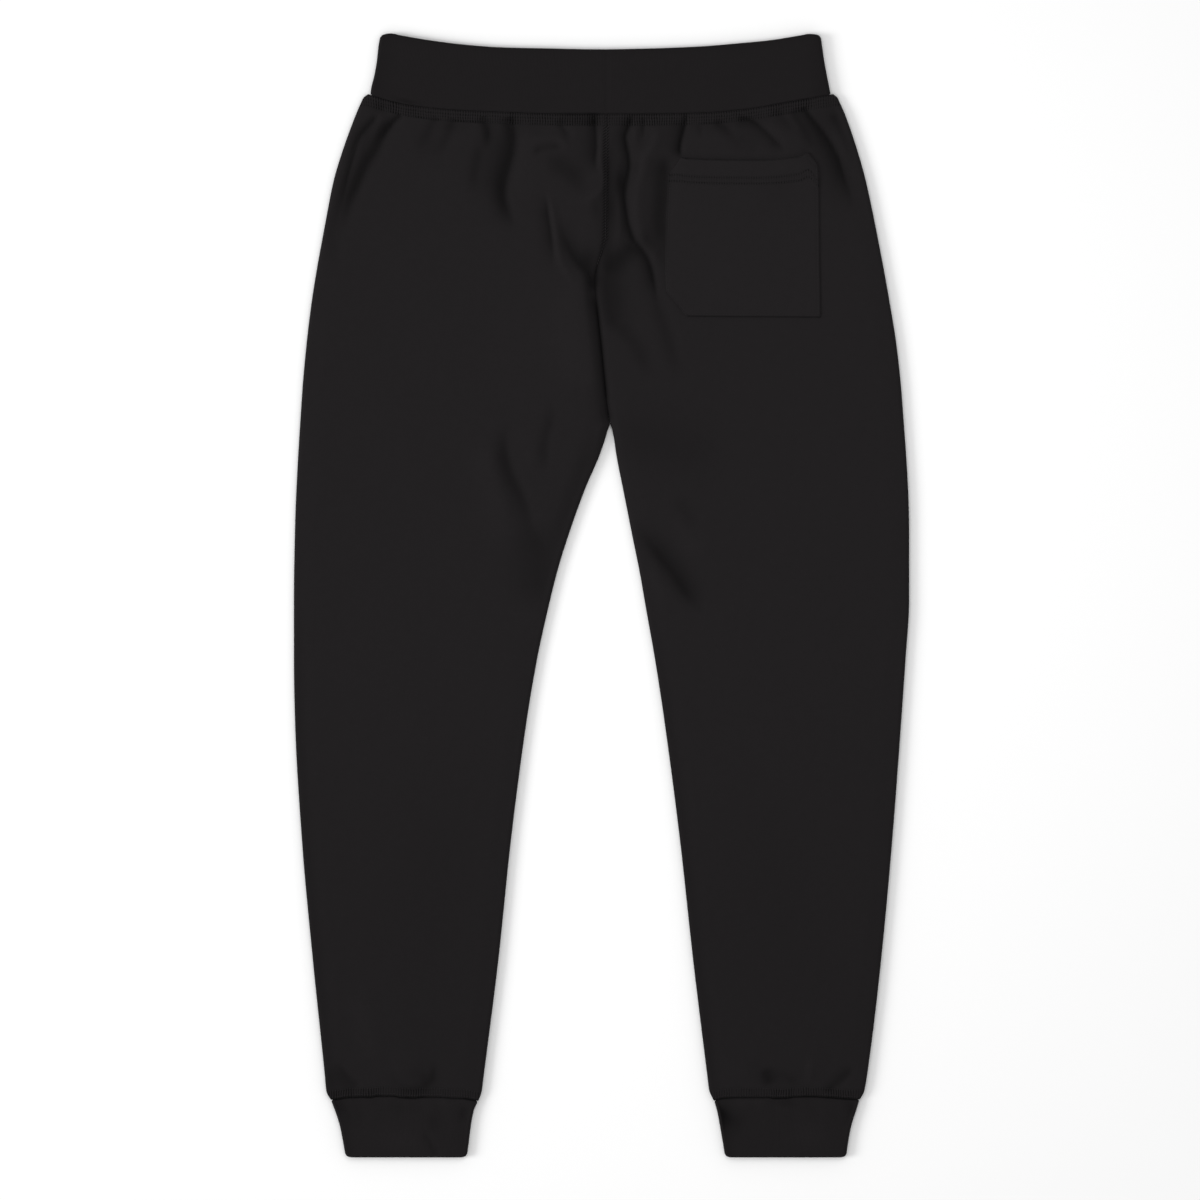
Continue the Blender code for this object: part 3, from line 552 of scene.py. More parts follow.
COVER_ROWS = (4.2, 10.2)        # needle rows of the waist cover stitch, below its seam
HEM_ROWS = (2.6, 8.4)           # the same above the cuffs
POCKET_ROWS = (16.2, 22.0)      # the same below the pocket's opening
STITCH = 2.7                    # stitch length
POCKET_STITCH = 2.6
FRONT_BESIDE = 1.2              # the front's centre seam lies this far across from the back's
CHAIN_BESIDE = -0.5             # the chain stitch lies this far across from the centre seam
CHAIN_SUNK = 0.22               # and this far below the cloth's face
CHAIN_TOP = 87.0
CHAIN_FOOT = 214.0              # where the seam sinks into its groove
NEEDLE_PULL = 0.28              # how far a needle row draws the cloth down
CRIMP = 2.3                     # pitch of the crimps that the stitches draw the cloth into
CRIMP_BEAD = 2.9                # pitch of the beads along a crimp
WALE = 1.0                      # pitch of the jersey's wales
COURSE = 0.8                    # and of its courses
RIB = 1.35                      # pitch of the ribs
RIB_COURSE = 0.9
# Painted light: the pocket's colour is a little paler, for the different sheen of its nap
POCKET_PALER = 0.11             # the pocket's nap runs the other way
# Painted light: the left cuff's colour is a little lighter than the right one's
LEFT_CUFF_PALER = 0.08
# Painted shade in creases and at seams, and painted light on ridges, taken off the colour:
SHADE_DARKENS = 0.42            # how much of its colour a shade of 1 takes away
CRISP = 3.0                     # a fold with a narrower side than this has a crisp foot
CREASE_DEEP = 2.0               # extra shade along a crisp foot
CREASE_HALF = 1.9               # half width of that line
# A crisp fold, a soft one and a ridge lie this far right of their paths
PATH_SHIFT = (0.5, 2.4, 3.6)
RIDGE_SHADE = 0.45              # how much a ridge lightens, against what a fold darkens
FULL_SHADE = 3.6                # depth of crease that gives a shade of 1
DARKEST = 2.1                   # and the most shade that any cloth has
EDGE_TUCK = 0.5                 # the last of an edge's round turns in this far
PANEL_TOP = 74.3                # levels over which the rows of the panels are spaced
PANEL_FOOT = 984.0
BAND_SEAM = 5.1                 # centre-back seam of the waistband
OPENING_DIP = 1.1               # how far the back sinks just above the pocket's opening
POCKET_HEAD = 116.0             # levels near the pocket's opening and its foot
POCKET_FOOT = 262.0
POCKET_LIFT = 0.15              # edge of the pocket above the panel
POCKET_UNDER = 0.03             # its underside above the panel
POCKET_INSET = 2.0              # edge stitch, in from the pocket's edge
SETTLE = 18                     # rounds in which a point and its level settle
HALF_BODY = (BODY_HEIGHT - SEAM_GAP) / 2.0    # each of the two layers, back and front

FLEECE_DARK = (0.0116, 0.0103, 0.0109, 1.0)
FLEECE_LIGHT = (0.0130, 0.0116, 0.0123, 1.0)
RIB_DARK = (0.0101, 0.0089, 0.0094, 1.0)
RIB_LIGHT = (0.0112, 0.0099, 0.0105, 1.0)
THREAD_BLACK = (0.0136, 0.0122, 0.0129, 1.0)

# Rings of rib: how high they lie, their wall, their depth from seam to fold, the round of their
# corners, how wide they lie, and the spacing of their points
Ring = namedtuple("Ring", "height wall depth corner width back_step front_step turns")
BAND_RING = Ring(height=BAND_HEIGHT, wall=BAND_WALL, depth=59.0, corner=BAND_CORNER, width=410.0,
                 back_step=2.0, front_step=4.0, turns=16)
CUFF_RING = Ring(height=CUFF_HEIGHT, wall=CUFF_WALL, depth=55.5, corner=CUFF_CORNER, width=125.0,
                 back_step=1.6, front_step=3.0, turns=14)


class Curve:
    """Smooth line through a table, for whole arrays, which never swings past its rows."""

    def __init__(self, rows, key, value):
        self.x = np.array([getattr(row, key) for row in rows], float)
        self.y = np.array([getattr(row, value) for row in rows], float)
        chords = np.diff(self.y) / np.diff(self.x)
        self.slope = np.concatenate(([chords[0]], np.zeros(len(chords) - 1), [chords[-1]]))
        before, after = chords[:-1], chords[1:]
        same = before * after > 0
        self.slope[1:-1][same] = 2 * before[same] * after[same] / (before[same] + after[same])

    def __call__(self, x):
        x = np.clip(x, self.x[0], self.x[-1])
        k = np.clip(np.searchsorted(self.x, x, side="right") - 1, 0, len(self.x) - 2)
        width = self.x[k + 1] - self.x[k]
        t = (x - self.x[k]) / width
        rise = self.y[k + 1] - self.y[k]
        lift, end = self.slope[k] * width, self.slope[k + 1] * width
        return self.y[k] + t * (lift + t * (3 * rise - 2 * lift - end + t * (lift + end - 2 * rise)))


def soft(x):
    """0 to 1 with no corner at either end."""
    x = np.clip(x, 0.0, 1.0)
    return x * x * (3.0 - 2.0 * x)


def mix(a, b, t):
    return a + (b - a) * t


def peak(x, middle, half):
    """1 at the middle, and nearly nothing at twice the half width."""
    return np.exp(-(((x - middle) / half) ** 2))


def peaks(x, middles, half):
    return sum(peak(x, middle, half) for middle in middles)


def dome(x):
    """0 to 1 as a quarter of a circle, steep at 0."""
    return np.sqrt(1.0 - (1.0 - np.clip(x, 0.0, 1.0)) ** 2)


waist_seam = Curve(WAIST_SEAM, "across", "down")
band_top = Curve(BAND_TOP, "across", "down")
hem_seam = Curve(HEM_SEAM, "across", "down")
centre_line = Curve(CENTRES, "down", "across")
outer_edge = {LEFT: Curve(SIDES, "down", "left"), RIGHT: Curve(SIDES, "down", "right")}
inseam = {LEFT: Curve(INSEAMS, "down", "left"), RIGHT: Curve(INSEAMS, "down", "right")}
band_edge = {LEFT: Curve(BANDS, "down", "left"), RIGHT: Curve(BANDS, "down", "right")}
cuff_edges = {LEFT: (Curve(CUFFS, "down", "left_outer"), Curve(CUFFS, "down", "left_inner")),
              RIGHT: (Curve(CUFFS, "down", "right_inner"), Curve(CUFFS, "down", "right_outer"))}
pocket_left = Curve(POCKET_SIDES, "down", "left")
pocket_right = Curve(POCKET_SIDES, "down", "right")
pocket_top = Curve(POCKET_TOP, "across", "down")
pocket_bottom = Curve(POCKET_BOTTOM, "across", "down")
below_waist = Curve(BELOW_WAIST, "away", "height")
above_hem = Curve(ABOVE_HEM, "away", "height")
band_foot = Curve(BAND_FOOT, "away", "height")
cuff_head = Curve(CUFF_HEAD, "away", "height")


def smooth_path(points, pieces=6):
    """Rounds a given path into short straight pieces."""
    p = np.array(points, float)
    p = np.vstack((2 * p[0] - p[1], p, 2 * p[-1] - p[-2]))
    out = []
    for k in range(1, len(p) - 2):
        for t in np.arange(pieces) / pieces:
            a, b, c, d = p[k - 1:k + 3]
            out.append(0.5 * (2 * b + (c - a) * t + (2 * a - 5 * b + 4 * c - d) * t ** 2
                              + (3 * b - a - 3 * c + d) * t ** 3))
    out.append(p[-2])
    return np.array(out)


def is_crisp(fold):
    return min(fold.west, fold.east) < CRISP


def across_fold(x, down, fold):
    """For the points near a fold: which they are, how far each is from its line, the half
    width on that side, and the fold's strength there."""
    path = smooth_path(fold.path)
    crisp, gentle, ridge = PATH_SHIFT
    path[:, 0] += crisp if is_crisp(fold) else gentle if fold.depth > 0 else ridge
    reach = 3.0 * max(fold.west, fold.east)
    low, high = path.min(axis=0) - reach, path.max(axis=0) + reach
    near = (x > low[0]) & (x < high[0]) & (down > low[1]) & (down < high[1])
    px, pd = x[near][:, None], down[near][:, None]
    start, step = path[:-1], np.diff(path, axis=0)
    length = np.hypot(step[:, 0], step[:, 1])
    walked = np.concatenate(([0.0], np.cumsum(length)))
    rx, rd = px - start[:, 0], pd - start[:, 1]
    t = np.clip((rx * step[:, 0] + rd * step[:, 1]) / length ** 2, 0.0, 1.0)
    away = np.hypot(rx - t * step[:, 0], rd - t * step[:, 1])
    nearest = away.argmin(axis=1)
    pick = np.arange(len(nearest))
    distance = away[pick, nearest]
    along = (walked[nearest] + t[pick, nearest] * length[nearest]) / walked[-1]
    turn = step[nearest, 0] * rd[pick, nearest] - step[nearest, 1] * rx[pick, nearest]
    half = np.where(turn > 0, fold.west, fold.east)
    strength = soft(along / fold.head) * soft((1.0 - along) / fold.tail)
    return near, distance, half, strength


def add_fold(height, x, down, fold, line=0.0):
    """Presses one fold into an array of heights, with a line at its foot if it is crisp."""
    near, distance, half, strength = across_fold(x, down, fold)
    height[near] -= fold.depth * strength * np.exp(-((distance / half) ** fold.sharp))
    if line and is_crisp(fold):
        height[near] -= line * strength * peak(distance, 0.0, CREASE_HALF)


def add_mounds(height, x, down, mounds):
    for mound in mounds:
        turn = math.radians(mound.turn)
        u = (x - mound.across) * math.cos(turn) + (down - mound.down) * math.sin(turn)
        v = (down - mound.down) * math.cos(turn) - (x - mound.across) * math.sin(turn)
        height += mound.height * peak(u, 0.0, mound.wide) * peak(v, 0.0, mound.tall)


def relief(x, down, folds, mounds=()):
    """Height of all the folds, swells and hollows over an array of points."""
    x, down = np.broadcast_arrays(np.asarray(x, float), np.asarray(down, float))
    height = np.zeros(x.shape)
    for fold in folds:
        add_fold(height, x, down, fold)
    add_mounds(height, x, down, mounds)
    return height


def hollow(x, down, folds, mounds):
    """How deep the creases are over an array of points, for painted shade in them and painted light on
    ridges.
    """
    x, down = np.broadcast_arrays(np.asarray(x, float), np.asarray(down, float))
    height = np.zeros(x.shape)
    for fold in folds:
        if fold.depth > 0:
            add_fold(height, x, down, fold, CREASE_DEEP)
        else:
            add_fold(height, x, down, fold._replace(depth=RIDGE_SHADE * fold.depth))
    add_mounds(height, x, down, [mound for mound in mounds if mound.height < 0])
    return np.clip(-height / FULL_SHADE, -0.12, 1.6)


def gathered(x, gathers, key):
    """One column of a table of gathers, blended along its seam."""
    return sum(getattr(g, key) * np.exp(-(((x - g.across) / g.half) ** 4)) for g in gathers)


def unrest(x, down):
    """Faint unevenness of cloth that lies flat."""
    return (0.13 * np.sin(x / 17.0 + 1.3 * np.sin(down / 41.0)) * np.sin(down / 29.0 + 0.7)
            + 0.10 * np.sin(x / 9.0 + down / 23.0 + 2.0) * np.sin(down / 13.0 + x / 31.0)
            + 0.05 * np.sin(x / 4.7 - down / 11.0) * np.sin(down / 6.1 + x / 9.0 + 1.0))


def inner_limit(side, face, down):
    """Inner edge of a panel. The front's centre seam runs a little beside the back's."""
    middle = centre_line(down) + side * SEAM_GAP / 2.0
    if face == FRONT:
        middle = middle + FRONT_BESIDE * soft((CROTCH - down) / 50.0)
    return np.where(down <= CROTCH, middle, inseam[side](down))


def place(side, face, column, down):
    """Where a panel's column crosses a level. Columns 0 to 1 go round the side seam's edge,
    1 to 2 cross the panel, and 2 to 3 go round or down to its inner edge."""
    outer = outer_edge[side](down)
    width = outer - side * inner_limit(side, face, down)
    opened = soft((down - CROTCH + SEAM_TURN) / SEAM_TURN)
    angle = np.radians(mix(SEAM_ANGLE, 90.0, opened ** 2))
    radius = mix(SEAM_ROUND, EDGE_ROUND, opened ** 0.7)
    run = radius * np.sin(angle)
    first, middle, last = (np.clip(column - k, 0, 1) for k in range(3))
    turn = first * math.pi / 2.0
    rise = np.sin(turn)
    across = EDGE_ROUND * (1.0 - np.cos(turn))
    across = np.where(column > 1, mix(EDGE_ROUND, width - run, middle), across)
    across = np.where(column > 2, width - run + radius * np.sin(angle * last), across)
    across = across + EDGE_TUCK * (1.0 - soft(rise / 0.22))
    across = across - EDGE_TUCK * soft((down - CROTCH) / 8.0) * soft((last - 0.86) / 0.14)
    deepest = np.minimum(radius * (1.0 - np.cos(angle)), HALF_BODY)
    sink = deepest * (1.0 - np.cos(angle * last)) / (1.0 - np.cos(angle))
    return outer, across, width, rise, sink, opened


def opening_dip(x, down):
    """The cloth of the back sinks just above the pocket's opening."""
    above = pocket_top(x) - down - 0.6
    along = soft((x - 70.0) / 6.0) * soft((196.0 - x) / 6.0)
    return OPENING_DIP * along * np.exp(-np.abs(above / np.where(above > 0.0, 3.0, 2.0)) ** 1.6)


def panel_surface(side, face, column, level):
    """Points of a panel's outer face at column places, on the lines that level gives as a
    function of the distance across."""
    column = np.asarray(column, float)
    x = side * mix(240.0, 60.0, np.clip(column / 3.0, 0, 1))    # a first guess, settled below
    down = level(x)
    for _ in range(SETTLE):
        outer, across, width, rise, sink, opened = place(side, face, column, down)
        x = side * (outer - across)
        down = level(x)
    from_waist, from_hem, from_inner = down - waist_seam(x), hem_seam(x) - down, width - across
    clear = soft((across - 1.0) / 8.0)
    clear = clear * mix(1.0, soft((from_inner - 1.0) / 7.0), soft((down - CROTCH + 26.0) / 26.0))
    clear = clear * soft((from_waist - 1.5) / 9.0) * soft((from_hem - 1.0) / 8.0)
    seams = below_waist(from_waist) + above_hem(from_hem)
    needles = peaks(from_waist, COVER_ROWS, 1.0) + peaks(from_hem, HEM_ROWS, 1.0)
    seams = seams - NEEDLE_PULL * needles
    if face == BACK:
        lift = relief(x, down, FOLDS, MOUNDS) + unrest(x, down)
        if side == RIGHT:
            lift = lift - opening_dip(x, down)
        ease = -EDGE_EASE * (1.0 - soft(across / EASE_RUN))
        ease = ease - EDGE_EASE * opened * (1.0 - soft(from_inner / EASE_RUN))
    else:
        lift = np.minimum(relief(x, down, FRONT_FOLDS), 0.0)
        ease = 0.0
        seams = seams * 0.6
    height = (HALF_BODY + clear * lift + seams + ease) * rise - sink * (1.0 + (seams + ease) / HALF_BODY)
    return x, down, BODY_HEIGHT / 2.0 + face * (SEAM_GAP / 2.0 + np.maximum(height, 0.0))


def back_top(x, down):
    """Height of the back's face away from its edges."""
    return BODY_HEIGHT + relief(x, down, FOLDS, MOUNDS) + unrest(x, down)


def world(x, down, z):
    """Points in metres, with +Y from the cuffs to the waistband."""
    return np.stack((x * MM, (LENGTH / 2.0 - down) * MM, z * MM), axis=-1)


def new_piece(name, points, faces, material):
    """A piece of the garment, from its points and faces."""
    mesh = bpy.data.meshes.new(name)
    mesh.from_pydata(points.reshape(-1, 3).tolist(), [], faces.tolist())
    mesh.update()
    obj = bpy.data.objects.new(name, mesh)
    bpy.context.scene.collection.objects.link(obj)
    mesh.materials.append(material)
    return obj


def grid_faces(grid):
    """Faces between the neighbours in a grid of point numbers."""
    corners = (grid[:-1, :-1], grid[:-1, 1:], grid[1:, 1:], grid[1:, :-1])
    return np.stack(corners, axis=-1).reshape(-1, 4)


def point_grid(rows, columns, start=0):
    """Numbers of the points in a grid."""
    return start + np.arange(rows * columns).reshape(rows, columns)


def note(obj, name, values):
    """Keeps a number for each point of a piece, which its cloth's material reads. A number that
    a piece doesn't have is read as 0."""
    values = np.asarray(values, np.float32).ravel()
    obj.data.attributes.new(name, "FLOAT", "POINT").data.foreach_set("value", values)


def shade_smoothly(mesh):
    """Smooth shading that keeps the edges of a wall sharp."""
    mesh.shade_smooth()
    mesh.set_sharp_from_angle(angle=math.radians(70))


def finish_shell(obj, wall, outward):
    """Gives an open surface its wall, inwards, as plain mesh, and shades it."""
    mesh = obj.data
    normals = np.empty(len(mesh.polygons) * 3, np.float32)
    mesh.polygons.foreach_get("normal", normals)
    if normals.reshape(-1, 3)[:, 2].sum() * outward < 0:
        mesh.flip_normals()
    solid = obj.modifiers.new("wall", "SOLIDIFY")
    solid.thickness = wall * MM
    solid.offset = -1.0
    solid.use_even_offset = True
    made = bpy.data.meshes.new_from_object(obj.evaluated_get(bpy.context.evaluated_depsgraph_get()))
    obj.modifiers.clear()
    obj.data = made
    made.name = obj.name
    shade_smoothly(made)


def steps(*runs):
    """Row or column places: (start, step) runs up to a last (end, None)."""
    out = []
    for (start, step), (end, _step) in zip(runs, runs[1:]):
        count = max(1, round((end - start) / step))
        out += [start + (end - start) * k / count for k in range(count)]
    return np.array(out + [runs[-1][0]])


def panel_grid(fine):
    """Columns across a panel, and its rows as shares of the way down. They are closest where
    the folds and the sewing are."""
    if fine:
        rounds = 7
        flat = steps((0.0, 0.01), (0.54, 0.0037), (1.0, None))
        down = steps((PANEL_TOP, 0.9), (90.0, 2.4), (300.0, 3.0), (400.0, 3.4), (560.0, 9.0), (930.0, 2.6),
                     (974.0, 0.9), (PANEL_FOOT, None))
    else:
        rounds, coarse = 5, 1.0
        flat = steps((0.0, 0.012 * coarse), (1.0, None))
        down = steps((PANEL_TOP, 1.6), (90.0, 3.6 * coarse), (560.0, 9.0 * coarse), (930.0, 3.6 * coarse),
                     (972.0, 1.6), (PANEL_FOOT, None))
    turn = np.linspace(0, 1, rounds + 1)
    return np.meshgrid(np.concatenate((turn[:-1], 1 + flat[:-1], 2 + turn)),
                       (down - PANEL_TOP) / (PANEL_FOOT - PANEL_TOP))


def back_shade(side, x, down, from_waist, from_hem, at_waist):
    """Painted shade on a back panel's colour: in its folds, along its seams and at the left edge of its
    leg.
    """
    waist, hem = gathered(x, WAIST_GATHERS, "shade"), gathered(x, HEM_GATHERS, "shade")
    dark = (0.1 + waist) * np.exp(-((np.maximum(from_waist, 0.0) / 1.1) ** 1.5))
    dark = dark + 0.45 * waist * at_waist
    dark = dark + (1.7 + hem) * peak(np.maximum(from_hem, 0.0), 0.0, 0.75 + 0.45 * hem)
    from_left = x + outer_edge[LEFT](down) if side == LEFT else x - inseam[RIGHT](down)
    dark = dark + 0.4 * soft((down - 480.0) / 160.0) * peak(from_left, 0.0, 9.0)
    return np.minimum(hollow(x, down, FOLDS, MOUNDS) + dark, DARKEST)


def make_panel(name, side, face, material):
    """Half of the back or of the front, from the waistband seam to the cuff seam."""
    column, share = panel_grid(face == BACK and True)
    gap = SEAM_GAP / 2.0
    x, down, z = panel_surface(
        side, face, column, lambda x: mix(waist_seam(x) + gap, hem_seam(x) - gap, share))
    obj = new_piece(name, world(x, down, z), grid_faces(point_grid(*x.shape)), material)
    from_waist, from_hem = down - waist_seam(x), hem_seam(x) - down
    at_waist, at_hem = soft((11.8 - from_waist) / 2.0), soft((9.8 - from_hem) / 2.5)
    # Painted shade between the crimps of the stitched strips and in their needle holes
    crimp = at_waist * (0.44 + 0.8 * gathered(x, WAIST_GATHERS, "crimps"))
    crimp = np.clip(crimp + at_hem * (0.24 + 0.6 * gathered(x, HEM_GATHERS, "crimps")), 0, 1)
    dots = gathered(x, WAIST_GATHERS, "dots")
    holes = 0.18 * peaks(from_hem, HEM_ROWS, 0.9)
    for row, weight in zip(COVER_ROWS, (0.2, 1.1)):
        holes = holes + (0.35 + weight * dots) * peak(from_waist, row, 0.9)
    note(obj, "crimp", crimp)
    note(obj, "holes", holes)
    note(obj, "from_seam", np.where(from_waist < 30.0, from_waist, 2.2))
    if face == BACK:
        # Painted highlights and shade of the chain stitch's ticks, on the cloth beside the centre seam
        beside = side * (x - centre_line(down))
        chain = soft(((4.2 if side == LEFT else 3.0) - beside) / 1.5) * soft((206.0 - down) / 16.0)
        note(obj, "slant", chain * (beside < 12.0) * (1.0 - crimp))
        note(obj, "crease", back_shade(side, x, down, from_waist, from_hem, at_waist))
    finish_shell(obj, FLEECE, face)
    return obj


def corner(distance, radius):
    """How far a rounded corner pulls the side in, at a distance from the end."""
    inside = np.clip(radius - distance, 0.0, radius)
    return radius - np.sqrt(np.maximum(radius ** 2 - inside ** 2, 0.0))


def ring_stations(ring):
    """Once round a flattened tube: for each station its share of the way from the left fold to
    the right one, its turn about the fold it is on, and its face, 0 where it is on a fold."""
    back, front = round(ring.width / ring.back_step), round(ring.width / ring.front_step)
    stations = [(k / back, 90.0, BACK) for k in range(back + 1)]
    stations += [(1.0, 90.0 - 180.0 * k / ring.turns, 0) for k in range(1, ring.turns)]
    stations += [(1.0 - k / front, -90.0, FRONT) for k in range(front + 1)]
    stations += [(0.0, -90.0 + 180.0 * k / ring.turns, 0) for k in range(1, ring.turns)]
    share, turn, flat = (np.array(column) for column in zip(*stations))
    return share, np.radians(turn), flat


def wall_rows(ring):
    """Rows of a ring's wall as distances from its seam and offsets from its outer face: up that
    face, over the folded edge and back down the inner face."""
    lip = ring.wall / 2.0
    top = ring.depth - lip
    coarse = 2.0
    rows = [(away, 0.0) for away in steps((0.0, 0.5), (2.0, 1.0), (4.0, coarse), (top, None))]
    for angle in np.radians(np.arange(18.0, 180.0, 18.0)):
        rows.append((top + lip * math.sin(angle), lip * math.cos(angle) - lip))
    rows += [(away, -ring.wall) for away in np.linspace(top, 0.0, 9)]
    away, offset = np.array(rows).T
    return away[:, None], offset[:, None]


def make_ring(name, ring, left, right, level, shape, crease, material):
    """A folded band of rib as a closed wall. Left and right are its edges at each level down.
    Level is the line at a share of the way from its seam to its fold, shape the lift of its face
    and the last function the shade painted into its colour."""
    share, turn, flat = ring_stations(ring)
    away, offset = wall_rows(ring)
    half = ring.height / 2.0
    sideways = np.where(flat == 0, np.cos(turn) * np.where(share > 0.5, 1.0, -1.0), 0.0)
    pull = corner(ring.depth - away, ring.corner)
    down = level(np.full((len(away), len(share)), 0.5 * (left(0) + right(0))), away / ring.depth)
    for _ in range(SETTLE):
        low, high = left(down) + pull + half, right(down) - pull - half
        x = np.where(flat != 0, mix(low, high, share), np.where(share > 0.5, high, low))
        out = np.maximum(half + offset + shape(x, down, away, flat), 0.05)
        x = x + sideways * out
        down = level(x, away / ring.depth)
    points = world(x, down, half + np.sin(turn) * out)
    grid = np.pad(point_grid(*x.shape), (0, 1), mode="wrap")
    obj = new_piece(name, points, grid_faces(grid), material)
    if obj.data.polygons[share.size // 4].normal.z < 0:
        obj.data.flip_normals()
    obj.data.shade_smooth()
    step = np.linalg.norm(np.diff(points[3], axis=0, append=points[3][:1]), axis=1) / MM
    around = np.concatenate(([0.0], np.cumsum(step)[:-1]))
    note(obj, "around", np.broadcast_to(around, x.shape))
    note(obj, "crease", crease(x, down, away, flat))
    return obj


def band_shape(x, down, away, flat):
    """Lift of the waistband's face: its foot rolls into the seam, with soft waves and the
    centre seam."""
    foot = band_foot(away)
    wave = 0.18 * np.sin(x / 21.0 + 0.6) * np.sin(x / 47.0 + down / 30.0)
    wave = wave + 0.10 * np.sin(x / 9.0 + down / 17.0)
    seam = 0.5 * peak(x, BAND_SEAM, 1.6) * (flat == BACK)
    ease = 0.5 * (1.0 - soft((210.0 - np.abs(x)) / 18.0))
    return np.where(flat == FRONT, 0.5 * foot, foot + wave - seam - ease)


def band_painted_shade(x, down, away, flat):
    """Painted shade on the band's colour: a little darker towards its fold, at its ends and at its foot,
    and in a tuck near its left end.
    """
    dark = 0.06 + 0.28 * soft((np.abs(x) - 186.0) / 22.0) + 0.18 * soft((away - 50.0) / 8.0)
    dark = dark + (0.1 + gathered(x, WAIST_GATHERS, "shade")) * peak(away, 0.0, 0.8)
    return dark + 0.8 * peak(x, -181.0, 10.0) * peak(away, 2.4, 1.6)


def make_band(material):
    gap = SEAM_GAP / 2.0
    return make_ring("waistband_rib", BAND_RING, lambda down: -band_edge[LEFT](down), band_edge[RIGHT],
                     lambda x, share: mix(waist_seam(x) - gap, band_top(x), share),
                     band_shape, band_painted_shade, material)


def cuff_shape(x, down, away, flat):
    """Lift of a cuff's face: its head rolls into the seam, with gathers and soft dents."""
    head = cuff_head(away)
    gather = 0.16 * np.sin(x / 2.9 + 0.8 * np.sin(down / 9.0)) * soft(1.0 - away / 34.0)
    lift = relief(x, down, CUFF_FOLDS, CUFF_MOUNDS) + gather
    return np.where(flat == FRONT, 0.5 * head, head + np.where(flat == BACK, lift, 0.0))


def cuff_painted_shade(x, down, away, flat):
    """Painted shade on a cuff's colour: darker in its dents, at its head and along its left edge, with
    painted light on its swells; the left cuff is painted a little lighter.
    """
    side = LEFT if x.mean() < 0 else RIGHT
    dents = 1.3 * hollow(x, down, CUFF_FOLDS, CUFF_MOUNDS)
    dents = dents - 0.45 * relief(x, down, (), [mound for mound in CUFF_MOUNDS if mound.height > 0])
    head = (1.4 + gathered(x, HEM_GATHERS, "shade")) * peak(away, 0.0, 0.65)
    head = head + 0.45 * peak(x, cuff_edges[side][0](down), 7.0)
    dark = np.minimum(np.where(flat == BACK, dents, 0.0) + head, DARKEST)
    return dark - LEFT_CUFF_PALER if side == LEFT else dark


def make_cuff(name, side, material):
    gap = SEAM_GAP / 2.0
    return make_ring(name, CUFF_RING, *cuff_edges[side],
                     lambda x, share: mix(hem_seam(x) + gap, LENGTH, share),
                     cuff_shape, cuff_painted_shade, material)


def pocket_place(share, level):
    """Point of the pocket, from its left to its right side and from its opening down."""
    down = mix(POCKET_HEAD, POCKET_FOOT, level)
    for _ in range(SETTLE):
        x = mix(pocket_left(down), pocket_right(down), share)
        down = mix(pocket_top(x), pocket_bottom(x), level)
    return x, down


def pocket_rise(x, down, share, level):
    """Height of the pocket's face above the cloth it is sewn to."""
    from_left, from_right = x - pocket_left(down), pocket_right(down) - x
    from_top, from_bottom = down - pocket_top(x), pocket_bottom(x) - down
    edge = np.minimum(np.minimum(from_left, from_right), from_bottom)
    body = 1.3 * dome(edge / 1.2) - 0.25 * peak(edge, 2.0, 0.9)
    hem = 0.6 * soft((24.5 - from_top) / 1.6)
    hem = hem - 0.3 * peaks(from_top, POCKET_ROWS, 1.0) * soft((edge - 1.0) / 2.0)
    tacked = 1.0 - 0.65 * peak(x, 200.0, 7.0) * peak(down, 113.0, 9.0)
    face = (body + hem * soft(edge / 1.6)) * mix(0.25, 1.0, dome(from_top / 1.5)) * tacked
    slack = 0.25 * np.sin(share * 9.0 + 1.0) * np.sin(level * 7.0)
    slack = slack + 0.3 * np.sin(share * math.pi) * np.sin(level * math.pi)
    pucker = 0.5 * peak(x, 194.0, 5.0) * peak(down, 118.0, 5.0) * np.sin(x * 1.3 + down * 0.9)
    return face + (slack * soft((edge - 2.0) / 14.0) + pucker) * soft(from_top / 3.0)


def padded(face, under):
    """Values for a closed pad of cloth: those of its face, then those of its underside, which
    shares the face's edge."""
    size = face[0, 0].size
    return np.concatenate((face.reshape(-1, size), under[1:-1, 1:-1].reshape(-1, size)))


def make_pocket(material):
    """Patch pocket: a closed pad that lies on the back's face, thicker at its turned hem."""
    near_edge = np.array([0, 0.003, 0.007, 0.012, 0.018])
    middle = np.linspace(0.026, 0.974, 86)
    share = np.concatenate((near_edge, middle, 1 - near_edge[::-1]))
    share, level = np.meshgrid(share, share)
    x, down = pocket_place(share, level)
    ground = back_top(x, down)
    face = world(x, down, ground + POCKET_LIFT + pocket_rise(x, down, share, level))
    top = point_grid(*x.shape)
    under = top.copy()
    under[1:-1, 1:-1] = point_grid(*under[1:-1, 1:-1].shape, start=top.size)
    obj = new_piece("back_pocket_fleece", padded(face, world(x, down, ground + POCKET_UNDER)),
                    np.concatenate((grid_faces(top[:, ::-1]), grid_faces(under))), material)
    from_top, from_bottom = down - pocket_top(x), pocket_bottom(x) - down
    # Painted shadow: dark lines along the pocket's opening and its foot
    line = 0.9 * peak(from_top, 0.0, 0.7) + 1.5 * peak(from_bottom, 0.0, 1.1)
    # Painted shade on the pocket: between the crimps of its hem, in its needle holes and in the back's
    # folds under it
    notes = {
        "crimp": 0.12 * soft((from_top - 14.6) / 1.5) * soft((23.6 - from_top) / 1.5),
        "holes": 0.7 * peaks(from_top, POCKET_ROWS, 0.9),
        "from_seam": from_top,
        "crease": hollow(x, down, FOLDS, MOUNDS) + line - POCKET_PALER,
    }
    for name, values in notes.items():
        note(obj, name, padded(values, values))
    shade_smoothly(obj.data)
    return obj


